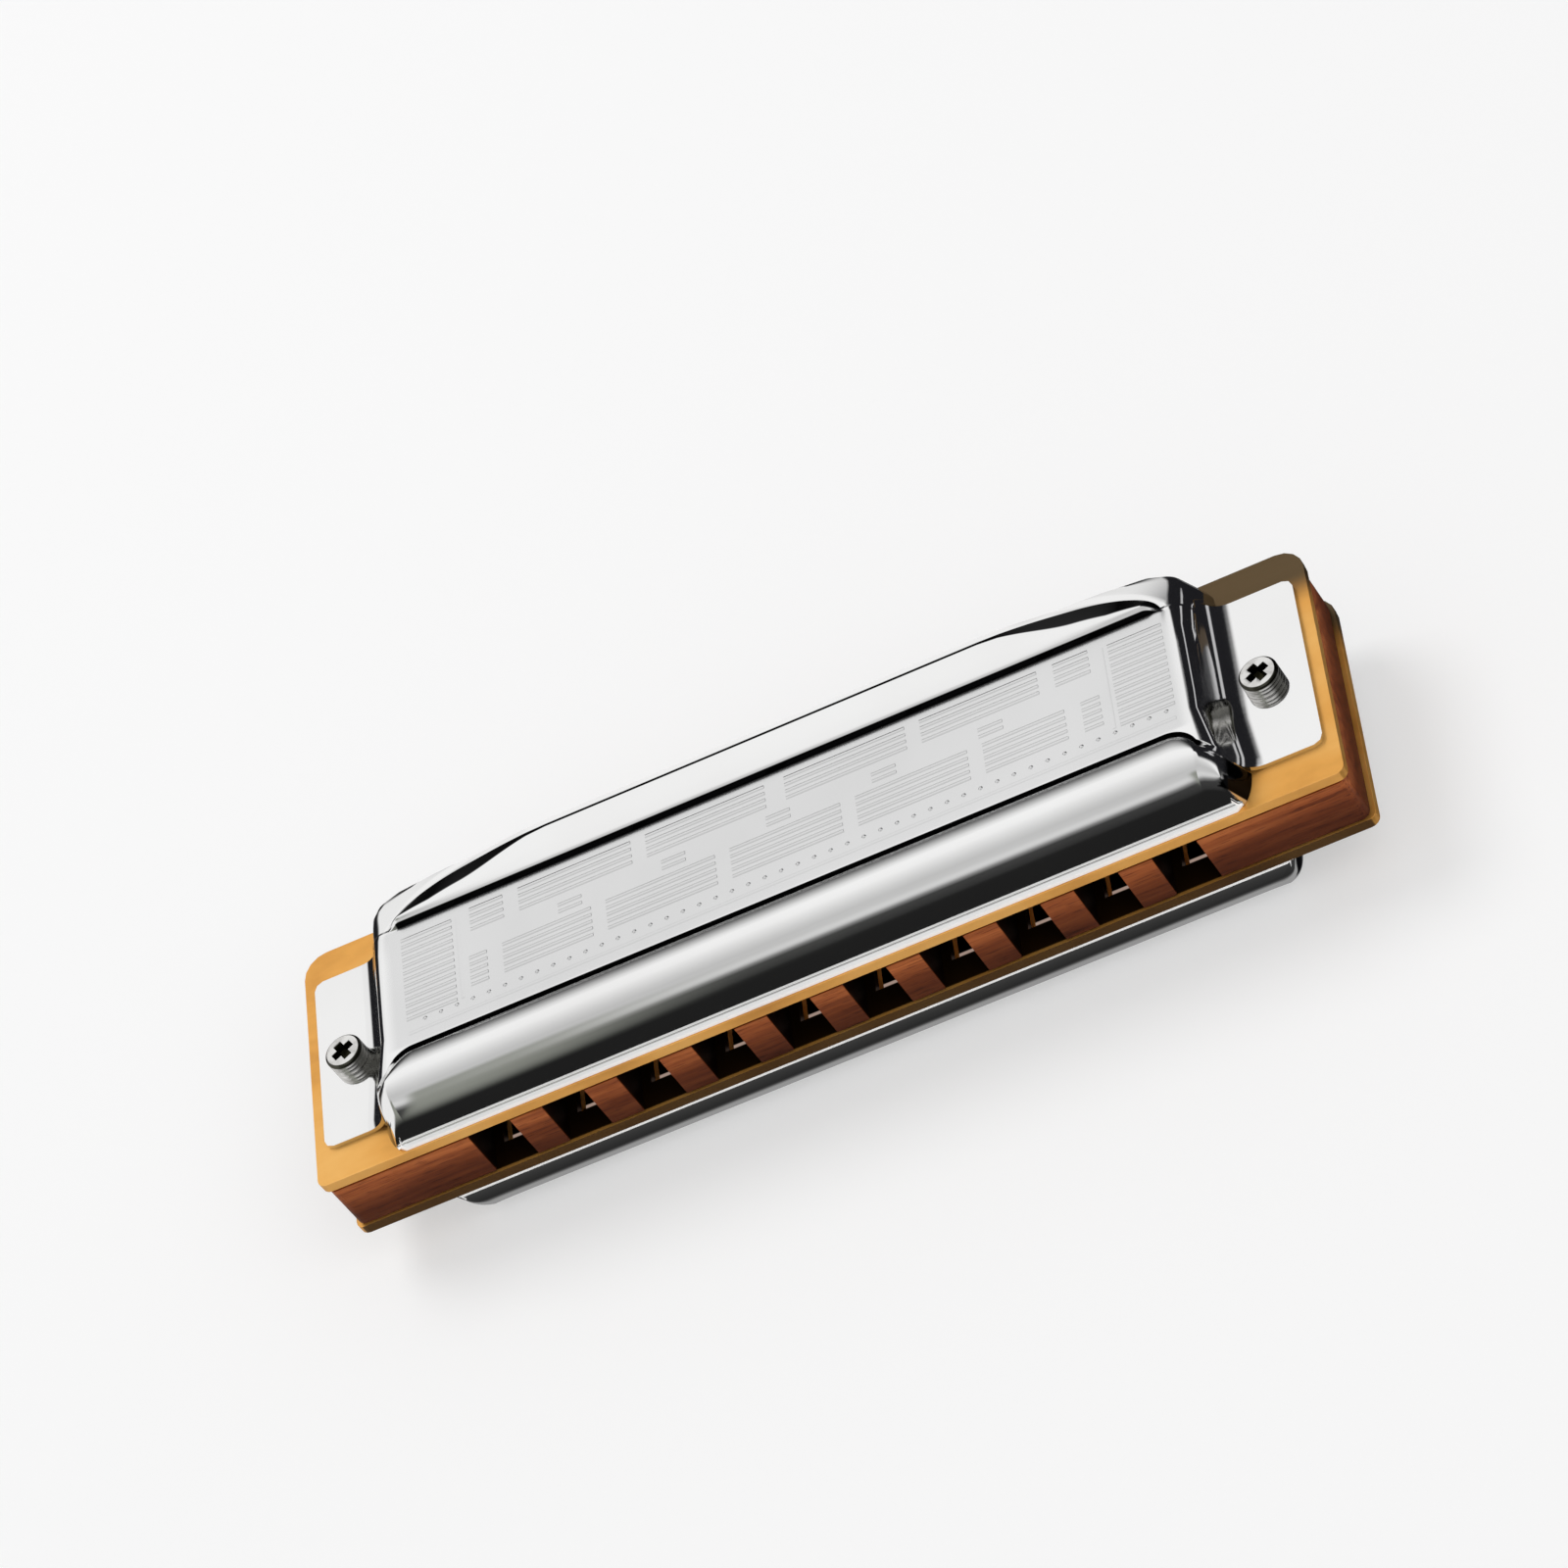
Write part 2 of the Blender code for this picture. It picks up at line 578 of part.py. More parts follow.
def make_cover(name, plate_outer_z, side, material, collection, cutters):
    """A pressed cover; side is +1 for the upper one and -1 for the lower one, which is turned over."""
    columns, front_row, rear_row = cover_grid()
    rows = len(columns[0])
    bm = bmesh.new()
    bmesh.ops.create_grid(bm, x_segments=len(columns) - 1, y_segments=rows - 1, size=1.0)
    places = {}
    for vert in bm.verts:
        column = round((vert.co.x + 1) / 2 * (len(columns) - 1))
        row = round((vert.co.y + 1) / 2 * (rows - 1))
        places[vert] = (column, row)
        vert.co = columns[column][row]
    last = len(columns) - 1
    beside_tabs = []
    for face in bm.faces:
        spots = [places[vert] for vert in face.verts]
        in_tab_columns = min(c for c, _ in spots) >= last - 2 or max(c for c, _ in spots) <= 2
        in_tab_rows = min(r for _, r in spots) >= front_row and max(r for _, r in spots) <= rear_row
        if in_tab_columns and not in_tab_rows:
            beside_tabs.append(face)
    bmesh.ops.delete(bm, geom=beside_tabs, context="FACES")
    bmesh.ops.recalc_face_normals(bm, faces=bm.faces)
    if sum(face.normal.z for face in bm.faces) < 0:
        bmesh.ops.reverse_faces(bm, faces=bm.faces)
    mesh = bpy.data.meshes.new(name)
    bm.to_mesh(mesh)
    bm.free()

    cover = bpy.data.objects.new(name, mesh)
    cover.location.z = plate_outer_z
    if side < 0:
        cover.rotation_euler.y = math.pi
    solidify = cover.modifiers.new("sheet", "SOLIDIFY")
    solidify.thickness = SHEET
    solidify.offset = -1.0
    link_part(cover, material, collection)
    for place, x in BOLT_PLACES:
        outline = circle(x, BOLT_Y, BOLT_RADIUS + HOLE_CLEARANCE, HOLE_SEGMENTS)
        bottom = plate_outer_z + side * FOOT_Z - 2 * SHEET
        cut(cover, cutter(f"{name}_{place}_hole", [outline], 4 * SHEET, bottom, cutters))
    return cover


def finish(collection):
    """Applies the modifiers and shades round faces smooth."""
    depsgraph = bpy.context.evaluated_depsgraph_get()
    meshes = [bpy.data.meshes.new_from_object(obj.evaluated_get(depsgraph)) for obj in collection.objects]
    for obj, mesh in zip(collection.objects, meshes):
        obj.modifiers.clear()
        obj.data = mesh
        mesh.shade_smooth()
        mesh.set_sharp_from_angle(angle=SHARP_ANGLE)


def main():
    for obj in list(bpy.data.objects):
        bpy.data.objects.remove(obj)
    parts = bpy.data.collections.new("diatonic_harmonica")
    cutters = bpy.data.collections.new("cutters")
    bpy.context.scene.collection.children.link(parts)
    bpy.context.scene.collection.children.link(cutters)

    wood = make_material("comb_wood", (0.30, 0.10, 0.035), 0.55, 0.0)
    plate_brass = make_material("plate_brass", (0.80, 0.50, 0.15), 0.32, 1.0)
    reed_brass = make_material("reed_brass", (0.86, 0.62, 0.26), 0.28, 1.0)
    rivet_brass = make_material("rivet_brass", (0.74, 0.52, 0.22), 0.35, 1.0)
    cover_steel = make_material("cover_steel", (0.80, 0.80, 0.80), 0.16, 1.0)
    bolt_steel = make_material("bolt_steel", (0.72, 0.72, 0.70), 0.25, 1.0)

    make_comb(wood, parts)
    indices = range(HOLE_COUNT)
    blow_reeds = [(i, blow_root_y(i), blow_length(i), 1) for i in indices]
    draw_reeds = [(i, draw_root_y(i), draw_length(i), -1) for i in indices]
    make_reed_plate("upper_reed_plate", blow_reeds, UPPER_PLATE_INNER_Z, plate_brass, parts)
    make_reed_plate("lower_reed_plate", draw_reeds, LOWER_PLATE_OUTER_Z, plate_brass, parts)

    reed_offset = REED_GAP + REED_THICKNESS / 2
    levels = (
        ("blow", blow_reeds, UPPER_PLATE_INNER_Z - reed_offset, UPPER_PLATE_OUTER_Z),
        ("draw", draw_reeds, LOWER_PLATE_OUTER_Z - reed_offset, LOWER_PLATE_INNER_Z),
    )
    for kind, reeds, reed_z, far_face_z in levels:
        for index, root_y, length, direction in reeds:
            number = f"{index + 1:02d}"
            make_reed(f"reed_{kind}_{number}", index, root_y, length, direction, reed_z, reed_brass, parts)
            rivet_y = root_y - direction * PAD_LENGTH / 2
            make_rivet(f"rivet_{kind}_{number}", index, rivet_y, far_face_z, -1, rivet_brass, parts)

    for side, where, outer_z in ((1, "upper", UPPER_PLATE_OUTER_Z), (-1, "lower", LOWER_PLATE_OUTER_Z)):
        make_cover(f"{where}_cover", outer_z, side, cover_steel, parts, cutters)
        for number, (x, y) in enumerate(PLATE_SCREW_PLACES, start=1):
            tool = screw_slot_cutter(f"{where}_screw_slot_{number}", cutters)
            make_plate_screw(f"plate_screw_{where}_{number}", x, y, outer_z, side, tool, bolt_steel, parts)

    for place, x in BOLT_PLACES:
        make_cover_bolt(f"cover_bolt_{place}", x, bolt_steel, parts, cutters)
        make_cover_nut(f"cover_nut_{place}", x, bolt_steel, parts)
    finish(parts)


main()
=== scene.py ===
"""Looks, camera and light for the ten-hole diatonic harmonica.

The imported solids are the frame. The covers, bolts, screws, nuts and rivets get finer pieces that replace
their solids, and the comb, plates and reeds keep theirs with softened edges. Lengths are in metres.
"""

import math

import bmesh
import bpy
from mathutils import Matrix, Vector


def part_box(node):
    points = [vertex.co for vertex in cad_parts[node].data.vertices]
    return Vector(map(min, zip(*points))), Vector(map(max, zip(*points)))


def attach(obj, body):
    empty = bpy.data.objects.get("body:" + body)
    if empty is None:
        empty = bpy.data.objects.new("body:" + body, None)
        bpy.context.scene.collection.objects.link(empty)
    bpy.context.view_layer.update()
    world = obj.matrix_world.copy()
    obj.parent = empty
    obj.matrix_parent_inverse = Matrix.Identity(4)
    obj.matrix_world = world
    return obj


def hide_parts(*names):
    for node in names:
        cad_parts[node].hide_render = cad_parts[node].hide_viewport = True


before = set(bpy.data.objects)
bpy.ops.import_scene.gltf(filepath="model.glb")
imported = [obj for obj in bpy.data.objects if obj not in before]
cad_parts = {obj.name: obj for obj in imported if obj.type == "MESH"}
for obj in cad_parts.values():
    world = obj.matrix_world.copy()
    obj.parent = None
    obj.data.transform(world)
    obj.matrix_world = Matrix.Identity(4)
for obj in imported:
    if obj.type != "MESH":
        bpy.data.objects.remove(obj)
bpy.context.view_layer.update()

MM = 0.001
BODY = "instrument"
WHITE = (1.0, 1.0, 1.0)

# Camera, as the photograph was taken: round the object, then rolled
CAMERA_AZIMUTH = math.radians(22.63)
CAMERA_ELEVATION = math.radians(43.34)
CAMERA_ROLL = math.radians(-38.62)
CAMERA_DISTANCE = 619.5 * MM
CAMERA_LENS = 158.5
CAMERA_SENSOR = 36.0
CAMERA_CLIP = (0.01, 20.0)
CAMERA_TARGET = (-0.9 * MM, 10.8 * MM)

# Levels and edges, read from the solids
PLATE_LOW, PLATE_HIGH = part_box("upper_reed_plate")
LOWER_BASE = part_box("lower_reed_plate")[0].z
UPPER_BASE = PLATE_HIGH.z
PLATE_FRONT_Y = PLATE_LOW.y
PLATE_REAR_Y = PLATE_HIGH.y
PLATE_END_X = PLATE_HIGH.x

# Cover sheet, with heights above the plate that it stands on
SHEET = 0.45 * MM
SEAT_GAP = 0.02 * MM
FOOT_Z = SEAT_GAP + SHEET
WALL_FOOT_Z = 0.05 * MM
COVER_HEIGHT = 5.4 * MM
PANEL_HEIGHT = 4.6 * MM
PANEL_STEP = 2.0 * MM
BASE_HALF = PLATE_END_X - 8.15 * MM
ROLL_BASE_MORE = 0.45 * MM
COVER_SHIFT = -0.45 * MM
COVER_TOP_SHIFT = -0.12 * MM
LIP_Y = PLATE_FRONT_Y + 0.2 * MM
LIP_FILLET = 0.03 * MM
WALL_Y = LIP_Y + 0.5 * MM
RIM_Y = PLATE_REAR_Y - 0.2 * MM
FILLET_STEPS = 3
MOST_BEND_SHARE = 0.45

# Roll along the mouth side, and the crease behind it, which turns forward near the ends
ROLL_START_Z = COVER_HEIGHT - 3.0 * MM
ROLL_TOP_Y = WALL_Y + 3.7 * MM
ROLL_TOP_SHIFT = 0.9 * MM
ROLL_CORNER_X = 37.1 * MM
ROLL_CORNER_REACH = 3.05 * MM
ROLL_CORNER_RADIUS = 3.0 * MM
ROLL_STOP_X = ROLL_CORNER_X + ROLL_CORNER_REACH
ROLL_STOP_BLEND = (ROLL_STOP_X - 0.3 * MM, ROLL_STOP_X + 0.15 * MM)
ROLL_BACK_POWER = 1.5
ROLL_BACK_EASE = 1.5
ROLL_FRONT_STEPS = 22
ROLL_BACK_STEPS = 14
CREASE_Y = -6.0 * MM
CREASE_LIP = 0.03 * MM
CREASE_DEPTH = 0.28 * MM
CREASE_FRONT_WIDTH = 0.48 * MM
CREASE_REAR_WIDTH = 0.14 * MM
CREASE_FILLET = 0.05 * MM
CREASE_FLAT = 0.08 * MM

# Riser behind the panel, and the raised shelf that an arc cuts to a tip near each end
RISER_Y = PLATE_REAR_Y - 5.3 * MM
RISER_FLAT = 0.3 * MM
RISER_RUN = 0.14 * MM
RISER_SHARE = 0.70
RISER_FOOT_FILLET = 0.04 * MM
RISER_TOP_FILLET = 0.10 * MM
RISER_EDGE_WIDTH = 0.42 * MM
RISER_EDGE_FILLET = 0.12 * MM
SHELF_EDGE_SHARE = 0.86
SHELF_CROWN_SHARE = 0.5
SHELF_REAR_SHARE = 0.97
SHELF_WIDTH = 4.55 * MM
SHELF_FULL_WIDTH = 2.0 * MM
SHELF_LEAST_WIDTH = 0.5 * MM
SHELF_TIP_SLOPE = 0.5
SHELF_STEPS = 5
SLOPE_WIDTH = 0.5 * MM
SLOPE_END_WIDTH = 2.3 * MM
SLOPE_MOST_SHARE = 0.65
SLOPE_TOP_FILLET = 0.10 * MM
SLOPE_TOP_FILLET_MORE = 0.15 * MM
SLOPE_FOOT_FILLET = 0.05 * MM
ARC_START_X = 26.0 * MM
ARC_REACH_X = 12.9 * MM
TIP_X = ARC_START_X + ARC_REACH_X
TIP_FADE = 1.6 * MM

# Band behind the shelf, with a flat bead round each rear corner
BAND_RISE = 0.52 * MM
BAND_SINK = 0.10 * MM
BAND_STEPS = 5
BEAD_START = 0.50 * MM
BEAD_WIDTH = 0.45 * MM
BEAD_LINES = (1.03, 1.06, 1.09, 1.12, 1.16)
LEAST_STEP = 0.05 * MM
RIM_ROLL = 0.10 * MM
CORNER_X = 26.0 * MM
CORNER_Y = 4.0 * MM
CORNER_REACH_X = 13.9 * MM
CORNER_REACH_Y = 8.8 * MM
CORNER_POWER = 2.2
CORNER_SLOPE = math.tan(math.radians(13))
CORNER_FADE_X = 24.0 * MM
CORNER_FULL_X = 31.0 * MM
NEAR_END_X = CORNER_FADE_X - 2.0 * MM

# End walls, which lean in, and the tabs at their feet
END_LEAN = 0.49
ROLL_END_LEAN = 0.40
LEAN_BLEND_Y = (-8.6 * MM, -5.6 * MM)
REAR_CORNER_RADIUS = 2.3 * MM
FRONT_CORNER_Y = -9.0 * MM
FRONT_CORNER_INSET = 2.2 * MM
FRONT_CORNER_SHARE = 0.99
TAB_END = PLATE_END_X - 1.2 * MM
TAB_HALF_WIDTH = PLATE_REAR_Y - 3.75 * MM
TAB_CORNER = 0.9 * MM
TAB_ROOT = 2.0 * MM
TAB_LEAST_RISE = 0.2 * MM
TAB_COLUMNS = ((TAB_END - TAB_CORNER, 0.0), (TAB_END - 0.3 * TAB_CORNER, 0.3), (TAB_END, 1.0))
FOLD_RADIUS = 0.70 * MM
ROLL_FOLD_MORE = 0.50 * MM
REAR_FOLD_MORE = 0.20 * MM
REAR_FOLD_Y = (6.0 * MM, 9.0 * MM)
FOOT_RADIUS = 1.6 * MM
FOLD_STEPS = 8
WALL_SHARES = (0.2, 0.34, 0.42, 0.50, 0.62, 0.8, 1.0)
WALL_BEAD_SHARE = 0.42
WALL_BEAD_HEIGHT = 0.11 * MM
WALL_BEAD_START_Y = (3.2 * MM, 4.4 * MM)
WALL_BEAD_STOP_Y = (9.4 * MM, 10.2 * MM)

# Columns of a cover's half from the middle to the fold: where each stretch stops, and its number of columns
COLUMN_STRETCHES = ((0.6, 12), (0.9, 30), (1.0, 25))
EDGE_ROUNDS = 4

# Strips painted near black as shade and dark reflection, with their ends in y on the middle section and
# their half length in x
CREASE_SHADE = (CREASE_Y - CREASE_FRONT_WIDTH - 0.01 * MM, CREASE_Y + CREASE_REAR_WIDTH + 0.03 * MM)
RISER_SHADE = (RISER_Y - 0.06 * MM, RISER_Y + RISER_RUN + 0.08 * MM)
SLOPE_SHADE = (RISER_Y + SHELF_WIDTH - SLOPE_WIDTH, RISER_Y + SHELF_WIDTH)
SHADED_STRIPS = (
    (CREASE_SHADE, ROLL_STOP_X - 0.4 * MM),
    (RISER_SHADE, TIP_X - 0.5 * MM),
    (SLOPE_SHADE, TIP_X - 0.3 * MM),
)
# Part of the end wall by the roll's foot that is painted near black as shade, hiding the plate's reflection
ROLL_FOOT_SHADE_Y = WALL_Y + 0.3 * MM
ROLL_FOOT_SHADE_Z = 3.2 * MM

# Angles past which an edge stays sharp
COVER_SMOOTH_ANGLE = 40.0
CUT_SMOOTH_ANGLE = 32.0
PATTERN_SMOOTH_ANGLE = 60.0
TURNED_SMOOTH_ANGLE = 30.0

# Places for the materials' masks, as the two ends of each soft step
PANEL_LEFT = (-40.5 * MM, -39.0 * MM)
PANEL_RIGHT = (39.5 * MM, 38.0 * MM)
CHAMBER_SHADE_Y = PLATE_FRONT_Y + 0.05 * MM
CHAMBER_REAR = (12.6 * MM, 12.4 * MM)
CHAMBER_LEFT = (-44.0 * MM, -43.8 * MM)
SLOT_REAR = (-4.5 * MM, -5.0 * MM)
SLOT_LEFT = (-40.2 * MM, -40.0 * MM)
COMB_Z = (6.5 * MM, 12.1 * MM)
LOWER_PLATE_Z = (9.0 * MM, 8.0 * MM)
# Rear right corner of the plates, painted a flat dark brown
DARK_CORNER_X = (35.5 * MM, 41.0 * MM)
DARK_CORNER_Y = (6.5 * MM, 10.5 * MM)
REED_SHADE_Y = (-6.5 * MM, -7.5 * MM)
LOWER_REED_Z = (7.0 * MM, 6.0 * MM)

# Stretch of the lower reeds' tips with a painted glint: a faint glow that stands in for light from below
TIP_GLINT_Y = (-9.15 * MM, -8.70 * MM)
TIP_GLINT_FADE = 0.1 * MM

# Pressed pattern on the panels, with plan places in mm. A block has its first line's y, its number of
# lines and its ends in x. A frame line has its two ends and its share of the height.
RIDGE_SINK = 0.05 * MM
RIDGE_TOP_SHARE = 0.35
LINE_PITCH = 0.78
LINE_WIDTH = 0.42 * MM
LINE_HEIGHT = 0.055 * MM
END_BLOCKS = ((-38.1, -32.9), (32.9, 38.1))
REAR_BLOCKS = ((-31.0, -27.6), (-26.0, -14.5), (-13.0, -1.0), (1.0, 13.0), (14.5, 26.0), (27.6, 31.0))
FRONT_BLOCKS = (
    (-31.4, -29.6), (-28.0, -19.0), (-17.5, -6.5), (-5.0, 6.0), (7.5, 18.5), (20.0, 28.0), (29.6, 31.4),
)
SHORT_BLOCKS = tuple((10.5 * k - 1.2, 10.5 * k + 1.2) for k in range(-2, 3))
LINE_BLOCKS = (
    (-2.8, 13, END_BLOCKS), (4.6, 4, REAR_BLOCKS), (-1.8, 5, FRONT_BLOCKS), (2.4, 2, SHORT_BLOCKS),
)
FRAME_LINES = (
    ((-32.3, -2.9), (-32.3, 6.7), 0.3),
    ((32.3, -2.9), (32.3, 6.7), 0.3),
    ((-38.0, -4.5), (38.0, -4.5), 0.6),
)
DOT_START_X = 37.2
DOT_Y = -3.4
DOT_PITCH = 1.632
DOT_COUNT = 46
DOT_RADIUS = 0.28 * MM
DOT_HEIGHT = 0.07 * MM
DOT_TOP_SHARE = 0.45

# Bolts through the covers, and their nuts
BOLT_X = PLATE_END_X - 4.9 * MM
BOLT_Y = -0.7 * MM
BOLT_SHIFT = -0.5 * MM
BOLT_TURN = math.radians(30)
BOLT_HOLE_RADIUS = 1.3 * MM
BOLT_HEAD_TOP = UPPER_BASE + 2.02 * MM
BOLT_HEAD_RADIUS = 1.85 * MM
BOLT_GROOVE_DEPTH = 0.05 * MM
BOLT_GROOVE_DROPS = (0.55 * MM, 0.95 * MM)
BOLT_SHANK_RADIUS = 1.0 * MM
BOLT_ROOT_RADIUS = 0.85 * MM
BOLT_PITCH = 0.42 * MM
BOLT_TURNS = 12
RECESS_DEPTH = 0.9 * MM
RECESS_RADIUS = 1.35 * MM
RECESS_LONG = 1.18 * MM
RECESS_SHORT = 0.46 * MM
RECESS_TAPER = 0.72
NUT_HALF_FLAT = 2.0 * MM
NUT_BORE_RADIUS = 1.2 * MM

# Plate screws and rivets
SCREW_HEAD = 0.9 * MM
SCREW_DOME_RADIUS = 0.75 * MM
SCREW_HEAD_RADIUS = 1.2 * MM
SCREW_RADIUS = 0.6 * MM
SCREW_ROOT_RADIUS = 0.48 * MM
SCREW_PITCH = 0.35 * MM
SCREW_TURNS = 6
SCREW_SLOT_DEPTH = 0.3 * MM
SCREW_SLOT_HALF = 0.2 * MM
RIVET_HEAD_RADIUS = 0.95 * MM
RIVET_HEAD = 0.40 * MM
RIVET_TAIL_RADIUS = 0.85 * MM
RIVET_TAIL = 0.25 * MM
RIVET_RADIUS = 0.5 * MM

# The light tent that metal mirrors: angle in degrees from the front horizon over the top, and brightness
TENT = (
    (-180, 0.02), (-150, 0.05), (-130, 0.30), (-75, 0.30), (-58, 0.05), (-48, 0.014), (-8, 0.014),
    (3, 0.030), (29, 0.045), (38, 0.22), (47, 0.60), (54, 0.66), (64, 0.56), (78, 0.53), (92, 0.62),
    (106, 0.74), (122, 0.88), (134, 0.90), (150, 0.90), (160, 0.74), (168, 0.45), (176, 0.12), (180, 0.03),
)

# Cards and dark cloths in the tent, each laid over the ones before: its colour, and the steps of direction
# along the world's axes that bound it
CLOTH_BLACK = (0.012, 0.012, 0.014)
CARD_GREY = (0.26, 0.27, 0.24)
CARD_PALE = (0.50, 0.50, 0.51)
CARD_WHITE = (0.84, 0.84, 0.84)
TENT_PATCHES = (
    (CARD_GREY, (("X", -0.295, -0.335), ("Y", -0.25, -0.45), ("Z", -0.45, 0.45))),
    (CARD_WHITE, (("X", -0.36, -0.44), ("Z", 0.12, 0.25), ("Y", 0.20, 0.35))),
    (CLOTH_BLACK, (("X", -0.12, 0.06), ("Z", 0.80, 0.70), ("Y", 0.20, 0.35))),
    (CLOTH_BLACK, (("X", -0.56, -0.66), ("Z", 0.50, 0.35), ("Y", 0.40, 0.55))),
    (CARD_WHITE, (("X", -0.62, -0.75), ("Y", 0.50, 0.35), ("Z", -0.75, -0.55))),
    (CARD_PALE, (("X", 0.58, 0.66), ("Y", 0.50, 0.58), ("Z", 0.02, 0.06), ("Z", 0.22, 0.17))),
)

# Soft fill from all sides, the floor, and the lamps with their names, places, sizes and powers
FILL_STRENGTH = 0.55
FLOOR_SIZE = 3.0
FLOOR_COLOR = (0.90, 0.90, 0.90, 1.0)
FLOOR_GLOW_SHARE = 0.45
LAMP_AIM = (0.0, 0.0, 0.01)
LAMPS = (
    ("key_lamp", (-0.35, 0.35, 0.75), 0.5, 3.0),
    ("fill_lamp", (0.45, -0.40, 0.60), 0.6, 1.5),
)


def set_values(tree, node, values):
    """Sets the settings and sockets that the values name; an output as value is linked to its socket."""
    for key, value in values.items():
        if hasattr(node, key):
            setattr(node, key, value)
            continue
        socket = node.inputs[key.replace("_", " ")]
        if isinstance(value, bpy.types.NodeSocket):
            tree.links.new(value, socket)
        else:
            socket.default_value = value


def add_node(tree, kind, **values):
    """A shader node of that kind with its values set."""
    node = tree.nodes.new(f"ShaderNode{kind}")
    set_values(tree, node, values)
    return node


def new_material(name):
    """A material and its node tree, with a Principled BSDF and an output."""
    material = bpy.data.materials.new(name)
    material.use_nodes = True
    return material, material.node_tree


def dress(material, **values):
    """Sets the values on the material's Principled BSDF."""
    set_values(material.node_tree, material.node_tree.nodes["Principled BSDF"], values)
    return material


def calculate(tree, operation, *terms):
    """The result of a math node on its terms, which are sockets or plain numbers."""
    node = add_node(tree, "Math", operation=operation)
    for k, term in enumerate(terms):
        if isinstance(term, float):
            node.inputs[k].default_value = term
        else:
            tree.links.new(term, node.inputs[k])
    return node.outputs[0]


def stretched_noise(tree, scale, detail=4.0):
    """Noise in the object's own space, stretched by a scale for each axis."""
    spot = add_node(tree, "TexCoord").outputs["Object"]
    mapped = add_node(tree, "Mapping", Vector=spot, Scale=scale).outputs["Vector"]
    return add_node(tree, "TexNoise", Vector=mapped, Scale=1.0, Detail=detail).outputs["Fac"]


def ramp(tree, source, stops):
    """Colours by a 0 to 1 source, from stops of (position, colour)."""
    node = add_node(tree, "ValToRGB", Fac=source)
    elements = node.color_ramp.elements
    while len(elements) > 1:
        elements.remove(elements[-1])
    for k, (position, color) in enumerate(stops):
        element = elements[0] if k == 0 else elements.new(position)
        element.position = position
        element.color = (*color, 1.0)
    return node.outputs["Color"]


def value_range(tree, source, low, high):
    """A value that a 0 to 1 source moves from low to high."""
    return add_node(tree, "MapRange", Value=source, To_Min=low, To_Max=high).outputs["Result"]


def smooth_step(tree, source, low, high):
    """0 at low and 1 at high, smooth between; low may lie above high."""
    start = 1.0 if low > high else 0.0
    node = add_node(tree, "MapRange", interpolation_type="SMOOTHSTEP", Value=source)
    set_values(tree, node, {"From_Min": min(low, high), "From_Max": max(low, high)})
    set_values(tree, node, {"To_Min": start, "To_Max": 1.0 - start})
    return node.outputs["Result"]


def object_step(tree, axis, low, high):
    """A smooth step from 0 at low to 1 at high along an axis of the object's own space."""
    parts = add_node(tree, "SeparateXYZ", Vector=add_node(tree, "TexCoord").outputs["Object"])
    return smooth_step(tree, parts.outputs[axis], low, high)


def masks_product(tree, masks):
    """1 where all the masks hold."""
    product = masks[0]
    for mask in masks[1:]:
        product = calculate(tree, "MULTIPLY", product, mask)
    return product


def zone(tree, *steps):
    """1 where every (axis, low, high) step along the object's own axes holds."""
    return masks_product(tree, [object_step(tree, *step) for step in steps])


def mix_colors(tree, blend, factor, first, second):
    """Blends two colours; without a factor the second one counts in full."""
    mix = add_node(tree, "Mix", data_type="RGBA", blend_type=blend)
    mix.inputs["Factor"].default_value = 1.0
    if factor is not None:
        tree.links.new(factor, mix.inputs["Factor"])
    tree.links.new(first, mix.inputs["A"])
    tree.links.new(second, mix.inputs["B"])
    return mix.outputs["Result"]


def tint(tree, color, mask, shade):
    """The colour, multiplied by a shade where the mask holds."""
    return mix_colors(tree, "MULTIPLY", None, color, ramp(tree, mask, [(0.0, WHITE), (1.0, shade)]))


def paint(tree, color, mask, patch_color):
    """The colour, painted over with a patch where the mask holds."""
    patch = add_node(tree, "RGB")
    patch.outputs[0].default_value = (*patch_color, 1.0)
    return mix_colors(tree, "MIX", mask, color, patch.outputs[0])


def relief(tree, height, strength, distance):
    """The surface's normal under a fine relief from a height source."""
    return add_node(tree, "Bump", Height=height, Strength=strength, Distance=distance).outputs["Normal"]


def mix_shaders(tree, factor, first, second):
    """The first shader where the factor is 0 and the second where it is 1."""
    node = add_node(tree, "MixShader", Fac=factor)
    tree.links.new(first, node.inputs[1])
    tree.links.new(second, node.inputs[2])
    return node.outputs[0]


def panel_mask(tree):
    """1 on the recessed panel between crease and riser, 0 elsewhere on a cover."""
    return zone(
        tree,
        ("Y", CREASE_Y, CREASE_Y + 0.5 * MM),
        ("Y", RISER_Y + 0.1 * MM, RISER_Y - 0.3 * MM),
        ("X", *PANEL_LEFT),
        ("X", *PANEL_RIGHT),
        ("Z", PANEL_HEIGHT - 0.6 * MM, PANEL_HEIGHT - 0.3 * MM),
    )


